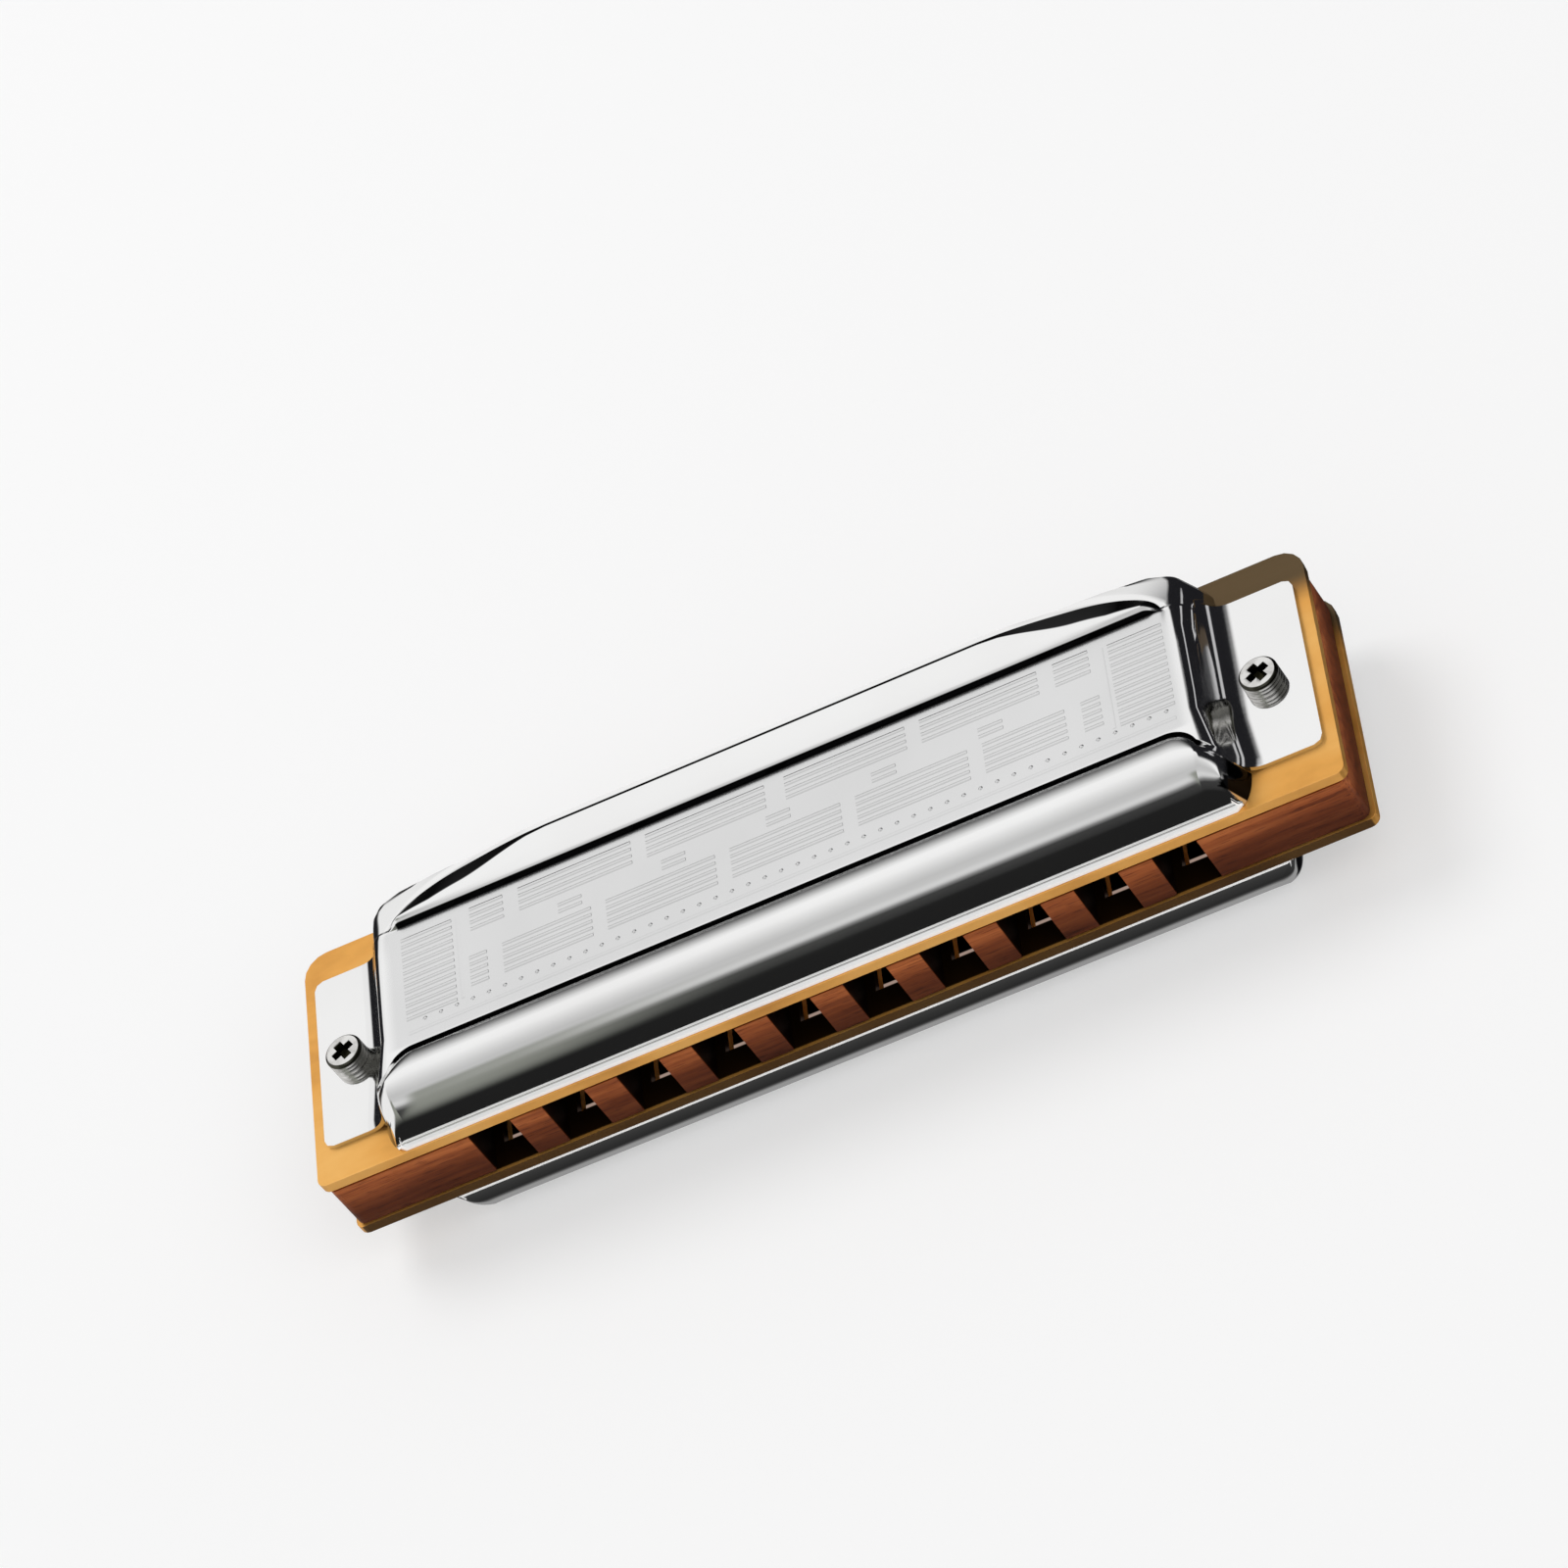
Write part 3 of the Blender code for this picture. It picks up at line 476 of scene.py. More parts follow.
def cover_steel_material():
    """Polished sheet with faint polishing lines, a satin panel, a pale satin lip with a painted glow, and
    painted near-black shade and dark reflection wherever the shade attribute marks.
    """
    material, tree = new_material("polished_steel_sheet")
    # The lip turns satin and gets a painted glow: a faint white emission that lightens it
    satin_lip_glow = object_step(tree, "Y", WALL_Y - 0.06 * MM, WALL_Y - 0.14 * MM)
    lines = stretched_noise(tree, (30.0, 2600.0, 2600.0))
    smudges = stretched_noise(tree, (60.0, 60.0, 60.0), 3.0)
    polished = ramp(tree, smudges, [(0.30, (0.93, 0.925, 0.92)), (0.70, (0.97, 0.97, 0.965))])
    satin = ramp(tree, smudges, [(0.30, (0.77, 0.77, 0.77)), (0.70, (0.83, 0.83, 0.83))])
    panel = panel_mask(tree)
    color = mix_colors(tree, "MIX", panel, polished, satin)
    shade = add_node(tree, "Attribute", attribute_name="shade")
    # Painted shade and dark reflection: near black wherever the shade attribute marks
    color = paint(tree, color, shade.outputs["Fac"], (0.008, 0.008, 0.009))
    gloss = value_range(tree, smudges, 0.05, 0.11)
    return dress(
        material,
        Base_Color=color,
        Metallic=value_range(tree, satin_lip_glow, 1.0, 0.1),
        Roughness=calculate(tree, "MULTIPLY_ADD", panel, 0.16, gloss),
        Normal=relief(tree, lines, 0.05, 0.00002),
        Emission_Color=(*WHITE, 1.0),
        Emission_Strength=value_range(tree, satin_lip_glow, 0.0, 0.18),
    )


def brass_plate_material():
    """Rolled brass with rolling lines and patches of tarnish, a dark brown rear right corner, painted shade
    on the lower plate's front edge and painted deep shade inside the chambers and slots.
    """
    material, tree = new_material("brass_sheet")
    front_edge = object_step(tree, "Y", PLATE_FRONT_Y + 0.12 * MM, PLATE_FRONT_Y + 0.04 * MM)
    lines = stretched_noise(tree, (60.0, 4000.0, 4000.0))
    patches = stretched_noise(tree, (90.0, 160.0, 160.0), 5.0)
    brass = [(0.28, (0.62, 0.27, 0.05)), (0.50, (0.86, 0.42, 0.09)), (0.75, (0.95, 0.53, 0.15))]
    color = ramp(tree, patches, brass)
    # The rear right corner is painted a flat dark brown
    dark_corner = zone(tree, ("X", *DARK_CORNER_X), ("Y", *DARK_CORNER_Y))
    color = paint(tree, color, dark_corner, (0.12, 0.075, 0.03))
    # Painted shade on the lower plate's front edge
    low_edge_shade = masks_product(tree, [front_edge, object_step(tree, "Z", *LOWER_PLATE_Z)])
    # Painted deep shade inside the chambers and round the slots
    painted_chamber_shade = zone(
        tree,
        ("Y", CHAMBER_SHADE_Y + 0.25 * MM, CHAMBER_SHADE_Y + 0.45 * MM),
        ("Y", *SLOT_REAR),
        ("X", *SLOT_LEFT),
        ("X", -SLOT_LEFT[0], -SLOT_LEFT[1]),
    )
    color = tint(tree, color, low_edge_shade, (0.12, 0.11, 0.09))
    color = tint(tree, color, painted_chamber_shade, (0.03, 0.025, 0.02))
    return dress(
        material,
        Base_Color=color,
        Metallic=value_range(tree, front_edge, 0.62, 0.12),
        Roughness=value_range(tree, lines, 0.30, 0.46),
        Normal=relief(tree, lines, 0.12, 0.00002),
    )


def reed_brass_material():
    """Milled reed brass with fine file lines, painted deep shade on the front part inside the chambers, and
    a painted glint on the lower tips that show in the holes.
    """
    material, tree = new_material("milled_reed_brass")
    lines = stretched_noise(tree, (400.0, 9000.0, 400.0))
    color = ramp(tree, lines, [(0.3, (0.78, 0.55, 0.24)), (0.7, (0.92, 0.72, 0.38))])
    # Painted deep shade on the reeds' front part, inside the chambers
    color = tint(tree, color, object_step(tree, "Y", *REED_SHADE_Y), (0.03, 0.025, 0.02))
    # Painted glint: an emission on the lower reeds' tips
    glint = zone(
        tree,
        ("Y", TIP_GLINT_Y[0], TIP_GLINT_Y[0] + TIP_GLINT_FADE),
        ("Y", TIP_GLINT_Y[1], TIP_GLINT_Y[1] - TIP_GLINT_FADE),
        ("Z", *LOWER_REED_Z),
    )
    return dress(
        material,
        Base_Color=color,
        Metallic=1.0,
        Roughness=value_range(tree, lines, 0.22, 0.36),
        Normal=relief(tree, lines, 0.15, 0.00002),
        Emission_Color=(0.62, 0.45, 0.37, 1.0),
        Emission_Strength=value_range(tree, glint, 0.0, 0.55),
    )


def rivet_brass_material():
    """Pressed brass heads, a little darker than the reeds."""
    material, tree = new_material("pressed_rivet_brass")
    grain = stretched_noise(tree, (900.0, 900.0, 900.0))
    return dress(
        material,
        Base_Color=ramp(tree, grain, [(0.3, (0.66, 0.45, 0.18)), (0.7, (0.84, 0.62, 0.28))]),
        Metallic=1.0,
        Roughness=value_range(tree, grain, 0.24, 0.40),
        Normal=relief(tree, grain, 0.08, 0.00003),
    )


def object_vector(tree, operation, other):
    """A vector operation between a place in the object's own space and a fixed vector."""
    spot = add_node(tree, "TexCoord").outputs["Object"]
    node = add_node(tree, "VectorMath", operation=operation, Vector=spot)
    node.inputs[1].default_value = other
    return node


def bolt_steel_material():
    """Bright turned steel with turning marks and grime, and painted shade in the recess, on the rim and on
    the sides of the head.
    """
    material, tree = new_material("bright_turned_steel")
    marks = stretched_noise(tree, (500.0, 500.0, 9000.0))
    grime = stretched_noise(tree, (700.0, 700.0, 700.0), 5.0)
    steel = [(0.30, (0.46, 0.45, 0.43)), (0.52, (0.80, 0.79, 0.77)), (0.8, (0.92, 0.92, 0.90))]
    color = ramp(tree, grime, steel)
    flat = object_vector(tree, "MULTIPLY", (1.0, 1.0, 0.0)).outputs["Vector"]
    from_axis = add_node(tree, "VectorMath", operation="LENGTH", Vector=flat).outputs["Value"]
    to_right = object_vector(tree, "DOT_PRODUCT", (0.77, -0.64, 0.0)).outputs["Value"]
    recess_shade = masks_product(tree, [
        smooth_step(tree, from_axis, RECESS_RADIUS, RECESS_RADIUS - 0.06 * MM),
        object_step(tree, "Z", BOLT_HEAD_TOP - 0.02 * MM, BOLT_HEAD_TOP - 0.10 * MM),
    ])
    rim_shade = masks_product(tree, [
        smooth_step(tree, from_axis, BOLT_HEAD_RADIUS - 0.26 * MM, BOLT_HEAD_RADIUS - 0.20 * MM),
        object_step(tree, "Z", BOLT_HEAD_TOP - 0.40 * MM, BOLT_HEAD_TOP - 0.30 * MM),
    ])
    on_side = masks_product(tree, [
        smooth_step(tree, from_axis, BOLT_HEAD_RADIUS - 0.20 * MM, BOLT_HEAD_RADIUS - 0.12 * MM),
        object_step(tree, "Z", UPPER_BASE, UPPER_BASE + 0.3 * MM),
    ])
    right_side_shade = masks_product(tree, [on_side, smooth_step(tree, to_right, 0.7 * MM, 1.35 * MM)])
    left_side_shade = masks_product(tree, [on_side, smooth_step(tree, to_right, -1.1 * MM, -1.6 * MM)])
    # Painted shade: recess, rim line and the head's sides darkened, the right side most
    color = tint(tree, color, recess_shade, (0.03, 0.028, 0.015))
    color = tint(tree, color, rim_shade, (0.10, 0.10, 0.08))
    color = tint(tree, color, right_side_shade, (0.14, 0.14, 0.13))
    color = tint(tree, color, left_side_shade, (0.22, 0.22, 0.21))
    return dress(
        material,
        Base_Color=color,
        Metallic=1.0,
        Roughness=value_range(tree, marks, 0.14, 0.30),
        Normal=relief(tree, marks, 0.10, 0.00003),
    )


def comb_wood_material():
    """Red-brown hardwood: fine grain along the comb, short dark pores, painted light that darkens it low
    down and lightens it near the top, and painted deep shade in the chambers.
    """
    material, tree = new_material("pear_wood")
    grain = stretched_noise(tree, (70.0, 1500.0, 1500.0), 6.0)
    pores = stretched_noise(tree, (500.0, 7000.0, 7000.0), 3.0)
    tone = stretched_noise(tree, (45.0, 90.0, 90.0), 2.0)
    wood = [(0.25, (0.17, 0.036, 0.008)), (0.5, (0.32, 0.078, 0.018)), (0.78, (0.46, 0.135, 0.036))]
    color = ramp(tree, grain, wood)
    tone_color = ramp(tree, tone, [(0.3, (0.72, 0.66, 0.62)), (0.7, WHITE)])
    pore_color = ramp(tree, pores, [(0.34, (0.55, 0.50, 0.48)), (0.44, WHITE)])
    # Painted light by height: darker toward the lower plate, lighter toward the upper one
    height = object_step(tree, "Z", *COMB_Z)
    painted_light_stops = [(0.0, (0.36, 0.29, 0.17)), (0.55, (0.68, 0.58, 0.38)), (1.0, (1.45, 1.50, 1.35))]
    painted_light_by_height = ramp(tree, height, painted_light_stops)
    for layer in (tone_color, pore_color, painted_light_by_height):
        color = mix_colors(tree, "MULTIPLY", None, color, layer)
    # Painted deep shade inside the chambers
    painted_chamber_shade = zone(
        tree,
        ("Y", CHAMBER_SHADE_Y, CHAMBER_SHADE_Y + 0.35 * MM),
        ("Y", *CHAMBER_REAR),
        ("X", *CHAMBER_LEFT),
        ("X", -CHAMBER_LEFT[0], -CHAMBER_LEFT[1]),
    )
    return dress(
        material,
        Base_Color=tint(tree, color, painted_chamber_shade, (0.035, 0.025, 0.02)),
        Metallic=0.0,
        Roughness=value_range(tree, grain, 0.42, 0.60),
        Specular_IOR_Level=0.3,
        Normal=relief(tree, pores, 0.20, 0.00004),
    )


def ease(low, high, value):
    """A smooth rise from 0 at low to 1 at high."""
    t = min(max((value - low) / (high - low), 0.0), 1.0)
    return t * t * (3 - 2 * t)


def soft_bend(start, corner, end, t):
    """A point of the curve that leaves start toward the corner and reaches end."""
    return start * (1 - t) ** 2 + corner * 2 * t * (1 - t) + end * t ** 2


def rounded(points, steps):
    """A line of (point, radius), with each corner of some radius turned into a soft arc."""
    out = []
    for k, (point, radius) in enumerate(points):
        point = Vector(point)
        if not radius:
            out.append(point)
            continue
        before = Vector(points[k - 1][0]) - point
        after = Vector(points[k + 1][0]) - point
        start = point + before.normalized() * min(radius, before.length * MOST_BEND_SHARE)
        end = point + after.normalized() * min(radius, after.length * MOST_BEND_SHARE)
        out += [soft_bend(start, point, end, step / steps) for step in range(steps + 1)]
    return out


def shelf_width(x):
    """Width of the raised shelf at x: even in the middle, then cut by an elliptical arc to a tip."""
    along = min(max(x - ARC_START_X, 0.0) / ARC_REACH_X, 1.0)
    return max(SHELF_WIDTH * math.sqrt(1 - along ** 2), SHELF_LEAST_WIDTH)


def past_corner_arc(x, y):
    """Distance past the super-ellipse that bounds the level middle of a cover, near a rear corner."""
    u = max(x - CORNER_X, 0.0) / CORNER_REACH_X
    v = max(y - CORNER_Y, 0.0) / CORNER_REACH_Y
    q = (u ** CORNER_POWER + v ** CORNER_POWER) ** (1 / CORNER_POWER)
    if q <= 1.0:
        return 0.0
    power = CORNER_POWER - 1
    slope = math.hypot(u ** power / CORNER_REACH_X, v ** power / CORNER_REACH_Y) * q ** -power
    return (q - 1.0) / slope


def corner_arc_y(x, q):
    """Where the super-ellipse, scaled by q, lies at x."""
    u = max(x - CORNER_X, 0.0) / CORNER_REACH_X
    return CORNER_Y + CORNER_REACH_Y * max(q ** CORNER_POWER - u ** CORNER_POWER, 0.0) ** (1 / CORNER_POWER)


def corner_fall(x, y):
    """How far the sheet has sunk past the arc: it slopes down and outward, but for a flat bead."""
    past = past_corner_arc(x, y)
    sloping = min(past, BEAD_START) + max(past - BEAD_START - BEAD_WIDTH, 0.0)
    return CORNER_SLOPE * sloping * ease(CORNER_FADE_X, CORNER_FULL_X, x)


def roll_section(x):
    """Front part of the section: the lip, the round front of the roll, its gentle back and the crease."""
    along = min(max(x - ROLL_CORNER_X, 0.0) / ROLL_CORNER_REACH, 1.0)
    forward = 1 - math.sqrt(1 - along ** 2)
    stop = ease(*ROLL_STOP_BLEND, x)
    roll_top = COVER_HEIGHT - (COVER_HEIGHT - PANEL_HEIGHT) * stop
    top_y = ROLL_TOP_Y - ROLL_TOP_SHIFT * forward
    crease_y = CREASE_Y - ROLL_CORNER_RADIUS * forward
    back_end_z = PANEL_HEIGHT + CREASE_LIP * (1 - stop)
    points = [((LIP_Y, FOOT_Z), 0), ((WALL_Y, FOOT_Z), LIP_FILLET)]
    for k in range(ROLL_FRONT_STEPS + 1):
        angle = math.pi / 2 * k / ROLL_FRONT_STEPS
        y = top_y - (top_y - WALL_Y) * math.cos(angle)
        points.append(((y, ROLL_START_Z + (roll_top - ROLL_START_Z) * math.sin(angle)), 0))
    back_start = crease_y - CREASE_FRONT_WIDTH
    for k in range(1, ROLL_BACK_STEPS + 1):
        t = 1 - (1 - k / ROLL_BACK_STEPS) ** ROLL_BACK_EASE
        z = roll_top - (roll_top - back_end_z) * t ** ROLL_BACK_POWER
        points.append(((top_y + (back_start - top_y) * t, z), 0))
    points += [
        ((crease_y, PANEL_HEIGHT - CREASE_DEPTH * (1 - stop)), 0),
        ((crease_y + CREASE_REAR_WIDTH, PANEL_HEIGHT), CREASE_FILLET),
        ((crease_y + CREASE_REAR_WIDTH + CREASE_FLAT, PANEL_HEIGHT), 0),
    ]
    return points


def shelf_section(x):
    """Rear part of the section: the riser, the gently domed shelf, its slope, the band and the rim."""
    width = shelf_width(x)
    most_height = min(COVER_HEIGHT - PANEL_HEIGHT, SHELF_TIP_SLOPE * width)
    height = most_height * (1 - ease(TIP_X - TIP_FADE, TIP_X, x))
    small = min(width / SHELF_FULL_WIDTH, 1.0)
    near_end = ease(NEAR_END_X, CORNER_FULL_X, x)
    slope_width = min(SLOPE_WIDTH + (SLOPE_END_WIDTH - SLOPE_WIDTH) * near_end, SLOPE_MOST_SHARE * width)
    band_z = PANEL_HEIGHT + BAND_RISE * (1 - near_end) - BAND_SINK * near_end
    edge_y = RISER_Y + RISER_EDGE_WIDTH * small
    slope_y = RISER_Y + width - slope_width
    points = [
        ((RISER_Y - RISER_FLAT, PANEL_HEIGHT), 0),
        ((RISER_Y, PANEL_HEIGHT), RISER_FOOT_FILLET),
        ((RISER_Y + RISER_RUN * small, PANEL_HEIGHT + RISER_SHARE * height), RISER_TOP_FILLET * small),
        ((edge_y, PANEL_HEIGHT + SHELF_EDGE_SHARE * height), RISER_EDGE_FILLET * small),
    ]
    crown_y = edge_y + (slope_y - edge_y) * SHELF_CROWN_SHARE
    for k in range(1, SHELF_STEPS + 1):
        t = k / SHELF_STEPS
        z = PANEL_HEIGHT + height * (1 - (1 - SHELF_EDGE_SHARE) * (1 - t) ** 2)
        points.append(((edge_y + (crown_y - edge_y) * t, z), 0))
    slope_fillet = (SLOPE_TOP_FILLET + SLOPE_TOP_FILLET_MORE * near_end) * small
    points.append(((slope_y, PANEL_HEIGHT + height * SHELF_REAR_SHARE), slope_fillet))
    points.append(((RISER_Y + width, band_z), SLOPE_FOOT_FILLET))
    last_y = RISER_Y + width
    for k, q in enumerate(BEAD_LINES):
        most_y = RIM_Y - RIM_ROLL - (len(BEAD_LINES) - k) * LEAST_STEP
        last_y = min(max(corner_arc_y(x, q), last_y + LEAST_STEP), most_y)
        points.append(((last_y, band_z), 0))
    for k in range(1, BAND_STEPS + 1):
        y = last_y + (RIM_Y - last_y) * k / BAND_STEPS
        rolled = RIM_ROLL if k == BAND_STEPS else 0.0
        points.append(((y, band_z - rolled), 0))
    return [((y, z - corner_fall(x, y)), radius) for (y, z), radius in points]


def cover_section(x):
    """Outer surface of a cover from front lip to rear rim, as (y, height) at x from the middle."""
    panel = [((k * PANEL_STEP, PANEL_HEIGHT), 0) for k in range(-2, 4)]
    return rounded(roll_section(x) + panel + shelf_section(x), FILLET_STEPS)


def end_base(y):
    """Half length of the cover's foot at y, rounded off at the front and rear corners."""
    front = min(max(FRONT_CORNER_Y - y, 0.0) / (FRONT_CORNER_Y - LIP_Y), 1.0)
    rear = min(max(y - (RIM_Y - REAR_CORNER_RADIUS), 0.0) / REAR_CORNER_RADIUS, 1.0)
    inset = FRONT_CORNER_INSET * (1 - math.sqrt(1 - (FRONT_CORNER_SHARE * front) ** 2))
    roll_more = ROLL_BASE_MORE * (1 - ease(*LEAN_BLEND_Y, y))
    return BASE_HALF + roll_more - inset - REAR_CORNER_RADIUS * (1 - math.sqrt(1 - rear ** 2))


def end_lean(y):
    """How far the end wall leans in for each unit of height: less at the roll than at the panel."""
    return ROLL_END_LEAN + (END_LEAN - ROLL_END_LEAN) * ease(*LEAN_BLEND_Y, y)


def fold_radius(y):
    """Radius of the fold at the top of the end wall: tight by the panel, softer at roll and rear."""
    at_roll = 1 - ease(*LEAN_BLEND_Y, y)
    return FOLD_RADIUS + ROLL_FOLD_MORE * at_roll + REAR_FOLD_MORE * ease(*REAR_FOLD_Y, y)


def wall_bead(y):
    """Height of the short bead on the rear part of the end wall."""
    return WALL_BEAD_HEIGHT * ease(*WALL_BEAD_START_Y, y) * (1 - ease(*WALL_BEAD_STOP_Y, y))


def end_edges():
    """For each row, the sharp edge where the top surface and the end wall would meet without a fold."""
    first_x = BASE_HALF - 2.0 * MM
    spots = [(first_x, *point) for point in cover_section(first_x)]
    for _ in range(EDGE_ROUNDS):
        for row, (_, y, z) in enumerate(spots):
            x = end_base(y) - end_lean(y) * (z - FOOT_Z)
            spots[row] = (x, *cover_section(x)[row])
    return [Vector(spot) for spot in spots]


def wall_line(row_start, edge, foot, out, on_tab):
    """Points down an end wall: the fold at its top, the wall, then the bend out into tab or foot."""
    down = foot - edge
    fold_end = edge + down.normalized() * min(fold_radius(edge.y), down.length * MOST_BEND_SHARE)
    shares = [k / FOLD_STEPS for k in range(1, FOLD_STEPS + 1)]
    points = [soft_bend(row_start, edge, fold_end, t) for t in shares]
    bend = min(FOOT_RADIUS, down.length * MOST_BEND_SHARE) if on_tab else 0.0
    bend_start = foot - down.normalized() * bend
    points += [fold_end.lerp(bend_start, share) for share in WALL_SHARES]
    points[FOLD_STEPS + WALL_SHARES.index(WALL_BEAD_SHARE)].x += wall_bead(edge.y)
    bend_end = foot + (out - foot).normalized() * bend
    return points + [soft_bend(bend_start, foot, bend_end, t) for t in shares]


def end_line(row_start, edge, foot_y, on_tab):
    """Points of one row past the top surface: the fold, the end wall and the tab."""
    at_lip = edge.z < FOOT_Z + 0.05 * MM
    foot = Vector((end_base(foot_y), foot_y, FOOT_Z if on_tab or at_lip else WALL_FOOT_Z))
    out = Vector((foot.x + TAB_ROOT, foot_y, FOOT_Z))
    points = wall_line(row_start, edge, foot, out, on_tab)
    for x, shrink in TAB_COLUMNS:
        narrower = 1 - shrink * TAB_CORNER / TAB_HALF_WIDTH
        points.append(Vector((x, foot_y * narrower, FOOT_Z)))
    return points


def raised_place(point, side, raised):
    """A point of the half cover on its side; all but the tabs stand a little off the middle."""
    if not raised:
        return Vector((side * point.x, point.y, point.z))
    shift = COVER_SHIFT + COVER_TOP_SHIFT * min(point.z / PANEL_HEIGHT, 1.0)
    return Vector((side * point.x + shift, point.y, point.z))


def shaded_rows():
    """Rows painted near black as shade and dark reflection, each with its half length in x: crease, riser
    and the arc's slope.
    """
    rows = {}
    for row, (y, _) in enumerate(cover_section(0.0)):
        for (low, high), reach in SHADED_STRIPS:
            if low < y < high:
                rows[row] = reach
    return rows


def column_shares():
    """Places of the columns between the middle, 0, and the fold, 1, closer together near the end."""
    shares = [0.0]
    for stop, count in COLUMN_STRETCHES:
        start = shares[-1]
        shares += [start + (stop - start) * k / count for k in range(1, count + 1)]
    return shares


def tab_rows(edges):
    """The rows at the front and the rear edge of a tab."""
    rows = [row for row, edge in enumerate(edges) if edge.z > FOOT_Z + TAB_LEAST_RISE]
    front_row = min(rows, key=lambda row: abs(edges[row].y + TAB_HALF_WIDTH))
    rear_row = min(rows, key=lambda row: abs(edges[row].y - TAB_HALF_WIDTH))
    return front_row, rear_row


def cover_columns():
    """Points of a cover's outer surface, column by column from end to end, and where the tabs grow from."""
    edges = end_edges()
    front_row, rear_row = tab_rows(edges)
    starts = [edge.x - fold_radius(edge.y) * ease(0.0, MM, edge.z - FOOT_Z) for edge in edges]
    half = []
    for share in column_shares():
        places = [share * start for start in starts]
        half.append([Vector((x, *cover_section(x)[row])) for row, x in enumerate(places)])
    ends = []
    for row, edge in enumerate(edges):
        foot_y = {front_row: -TAB_HALF_WIDTH, rear_row: TAB_HALF_WIDTH}.get(row, edge.y)
        ends.append(end_line(half[-1][row], edge, foot_y, front_row <= row <= rear_row))
    half += [[line[column] for line in ends] for column in range(len(ends[0]))]
    last = len(half) - 1
    wall_end = last - len(TAB_COLUMNS)
    columns = []
    for k in range(-last, last + 1):
        side = -1 if k < 0 else 1
        columns.append([raised_place(point, side, abs(k) <= wall_end) for point in half[abs(k)]])
    return columns, front_row, rear_row, wall_end


def show(obj):
    """Puts an object in the scene."""
    bpy.context.scene.collection.objects.link(obj)


def place(obj, base_z, side):
    """Puts a piece made for the upper cover on its plate; side -1 turns it over for the lower one."""
    obj.location.z = base_z
    if side < 0:
        obj.rotation_euler.y = math.pi


def link(obj, material, slot, *nodes):
    """Shows a piece with its material on the instrument's body, in place of the nodes."""
    show(obj)
    obj.data.materials.clear()
    obj.data.materials.append(material)
    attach(obj, BODY)
    if nodes:
        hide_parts(*nodes)


def mesh_object(name, bm, smooth_angle=35.0):
    """An object from a bmesh, smooth but for edges sharper than the angle."""
    bmesh.ops.recalc_face_normals(bm, faces=bm.faces)
    mesh = bpy.data.meshes.new(name)
    bm.to_mesh(mesh)
    bm.free()
    mesh.shade_smooth()
    mesh.set_sharp_from_angle(angle=math.radians(smooth_angle))
    return bpy.data.objects.new(name, mesh)


def rod(name, segments, radius, depth, middle, turn=0.0):
    """An upright rod about its middle, to cut with or to shape further."""
    bm = bmesh.new()
    bmesh.ops.create_cone(bm, cap_ends=True, segments=segments, radius1=radius, radius2=radius, depth=depth)
    bmesh.ops.rotate(bm, verts=bm.verts, matrix=Matrix.Rotation(turn, 3, "Z"))
    bmesh.ops.translate(bm, verts=bm.verts, vec=middle)
    return mesh_object(name, bm)


def soften_edges(obj, width, angle):
    """Rounds the edges that are sharper than the angle."""
    soften = obj.modifiers.new("soften", "BEVEL")
    soften.width = width
    soften.segments = 2
    soften.limit_method = "ANGLE"
    soften.angle_limit = math.radians(angle)


def cut_and_bake(obj, tools, bevel=0.0, smooth_angle=CUT_SMOOTH_ANGLE):
    """Cuts the tools out of the piece and softens the new edges, then keeps the result as its mesh."""
    show(obj)
    for tool in tools:
        show(tool)
        boolean = obj.modifiers.new(tool.name, "BOOLEAN")
        boolean.operation = "DIFFERENCE"
        boolean.object = tool
    if bevel:
        soften_edges(obj, bevel, angle=40)
    depsgraph = bpy.context.evaluated_depsgraph_get()
    solid = bpy.data.meshes.new_from_object(obj.evaluated_get(depsgraph))
    name = obj.name
    for old in (obj, *tools):
        bpy.data.objects.remove(old)
    solid.shade_smooth()
    solid.set_sharp_from_angle(angle=math.radians(smooth_angle))
    return bpy.data.objects.new(name, solid)


def faces_beside_tabs(bm, spots, front_row, rear_row, wall_end):
    """Faces of the full grid that the sheet lacks: those in front of and behind each tab."""
    found = []
    for face in bm.faces:
        out = min(spots[vert][0] for vert in face.verts)
        rows = [spots[vert][1] for vert in face.verts]
        on_tab = min(rows) >= front_row and max(rows) <= rear_row
        at_tab_edge = min(rows) in (front_row - 1, rear_row)
        if (out >= wall_end and not on_tab) or (out >= wall_end - FOLD_STEPS and at_tab_edge):
            found.append(face)
    return found


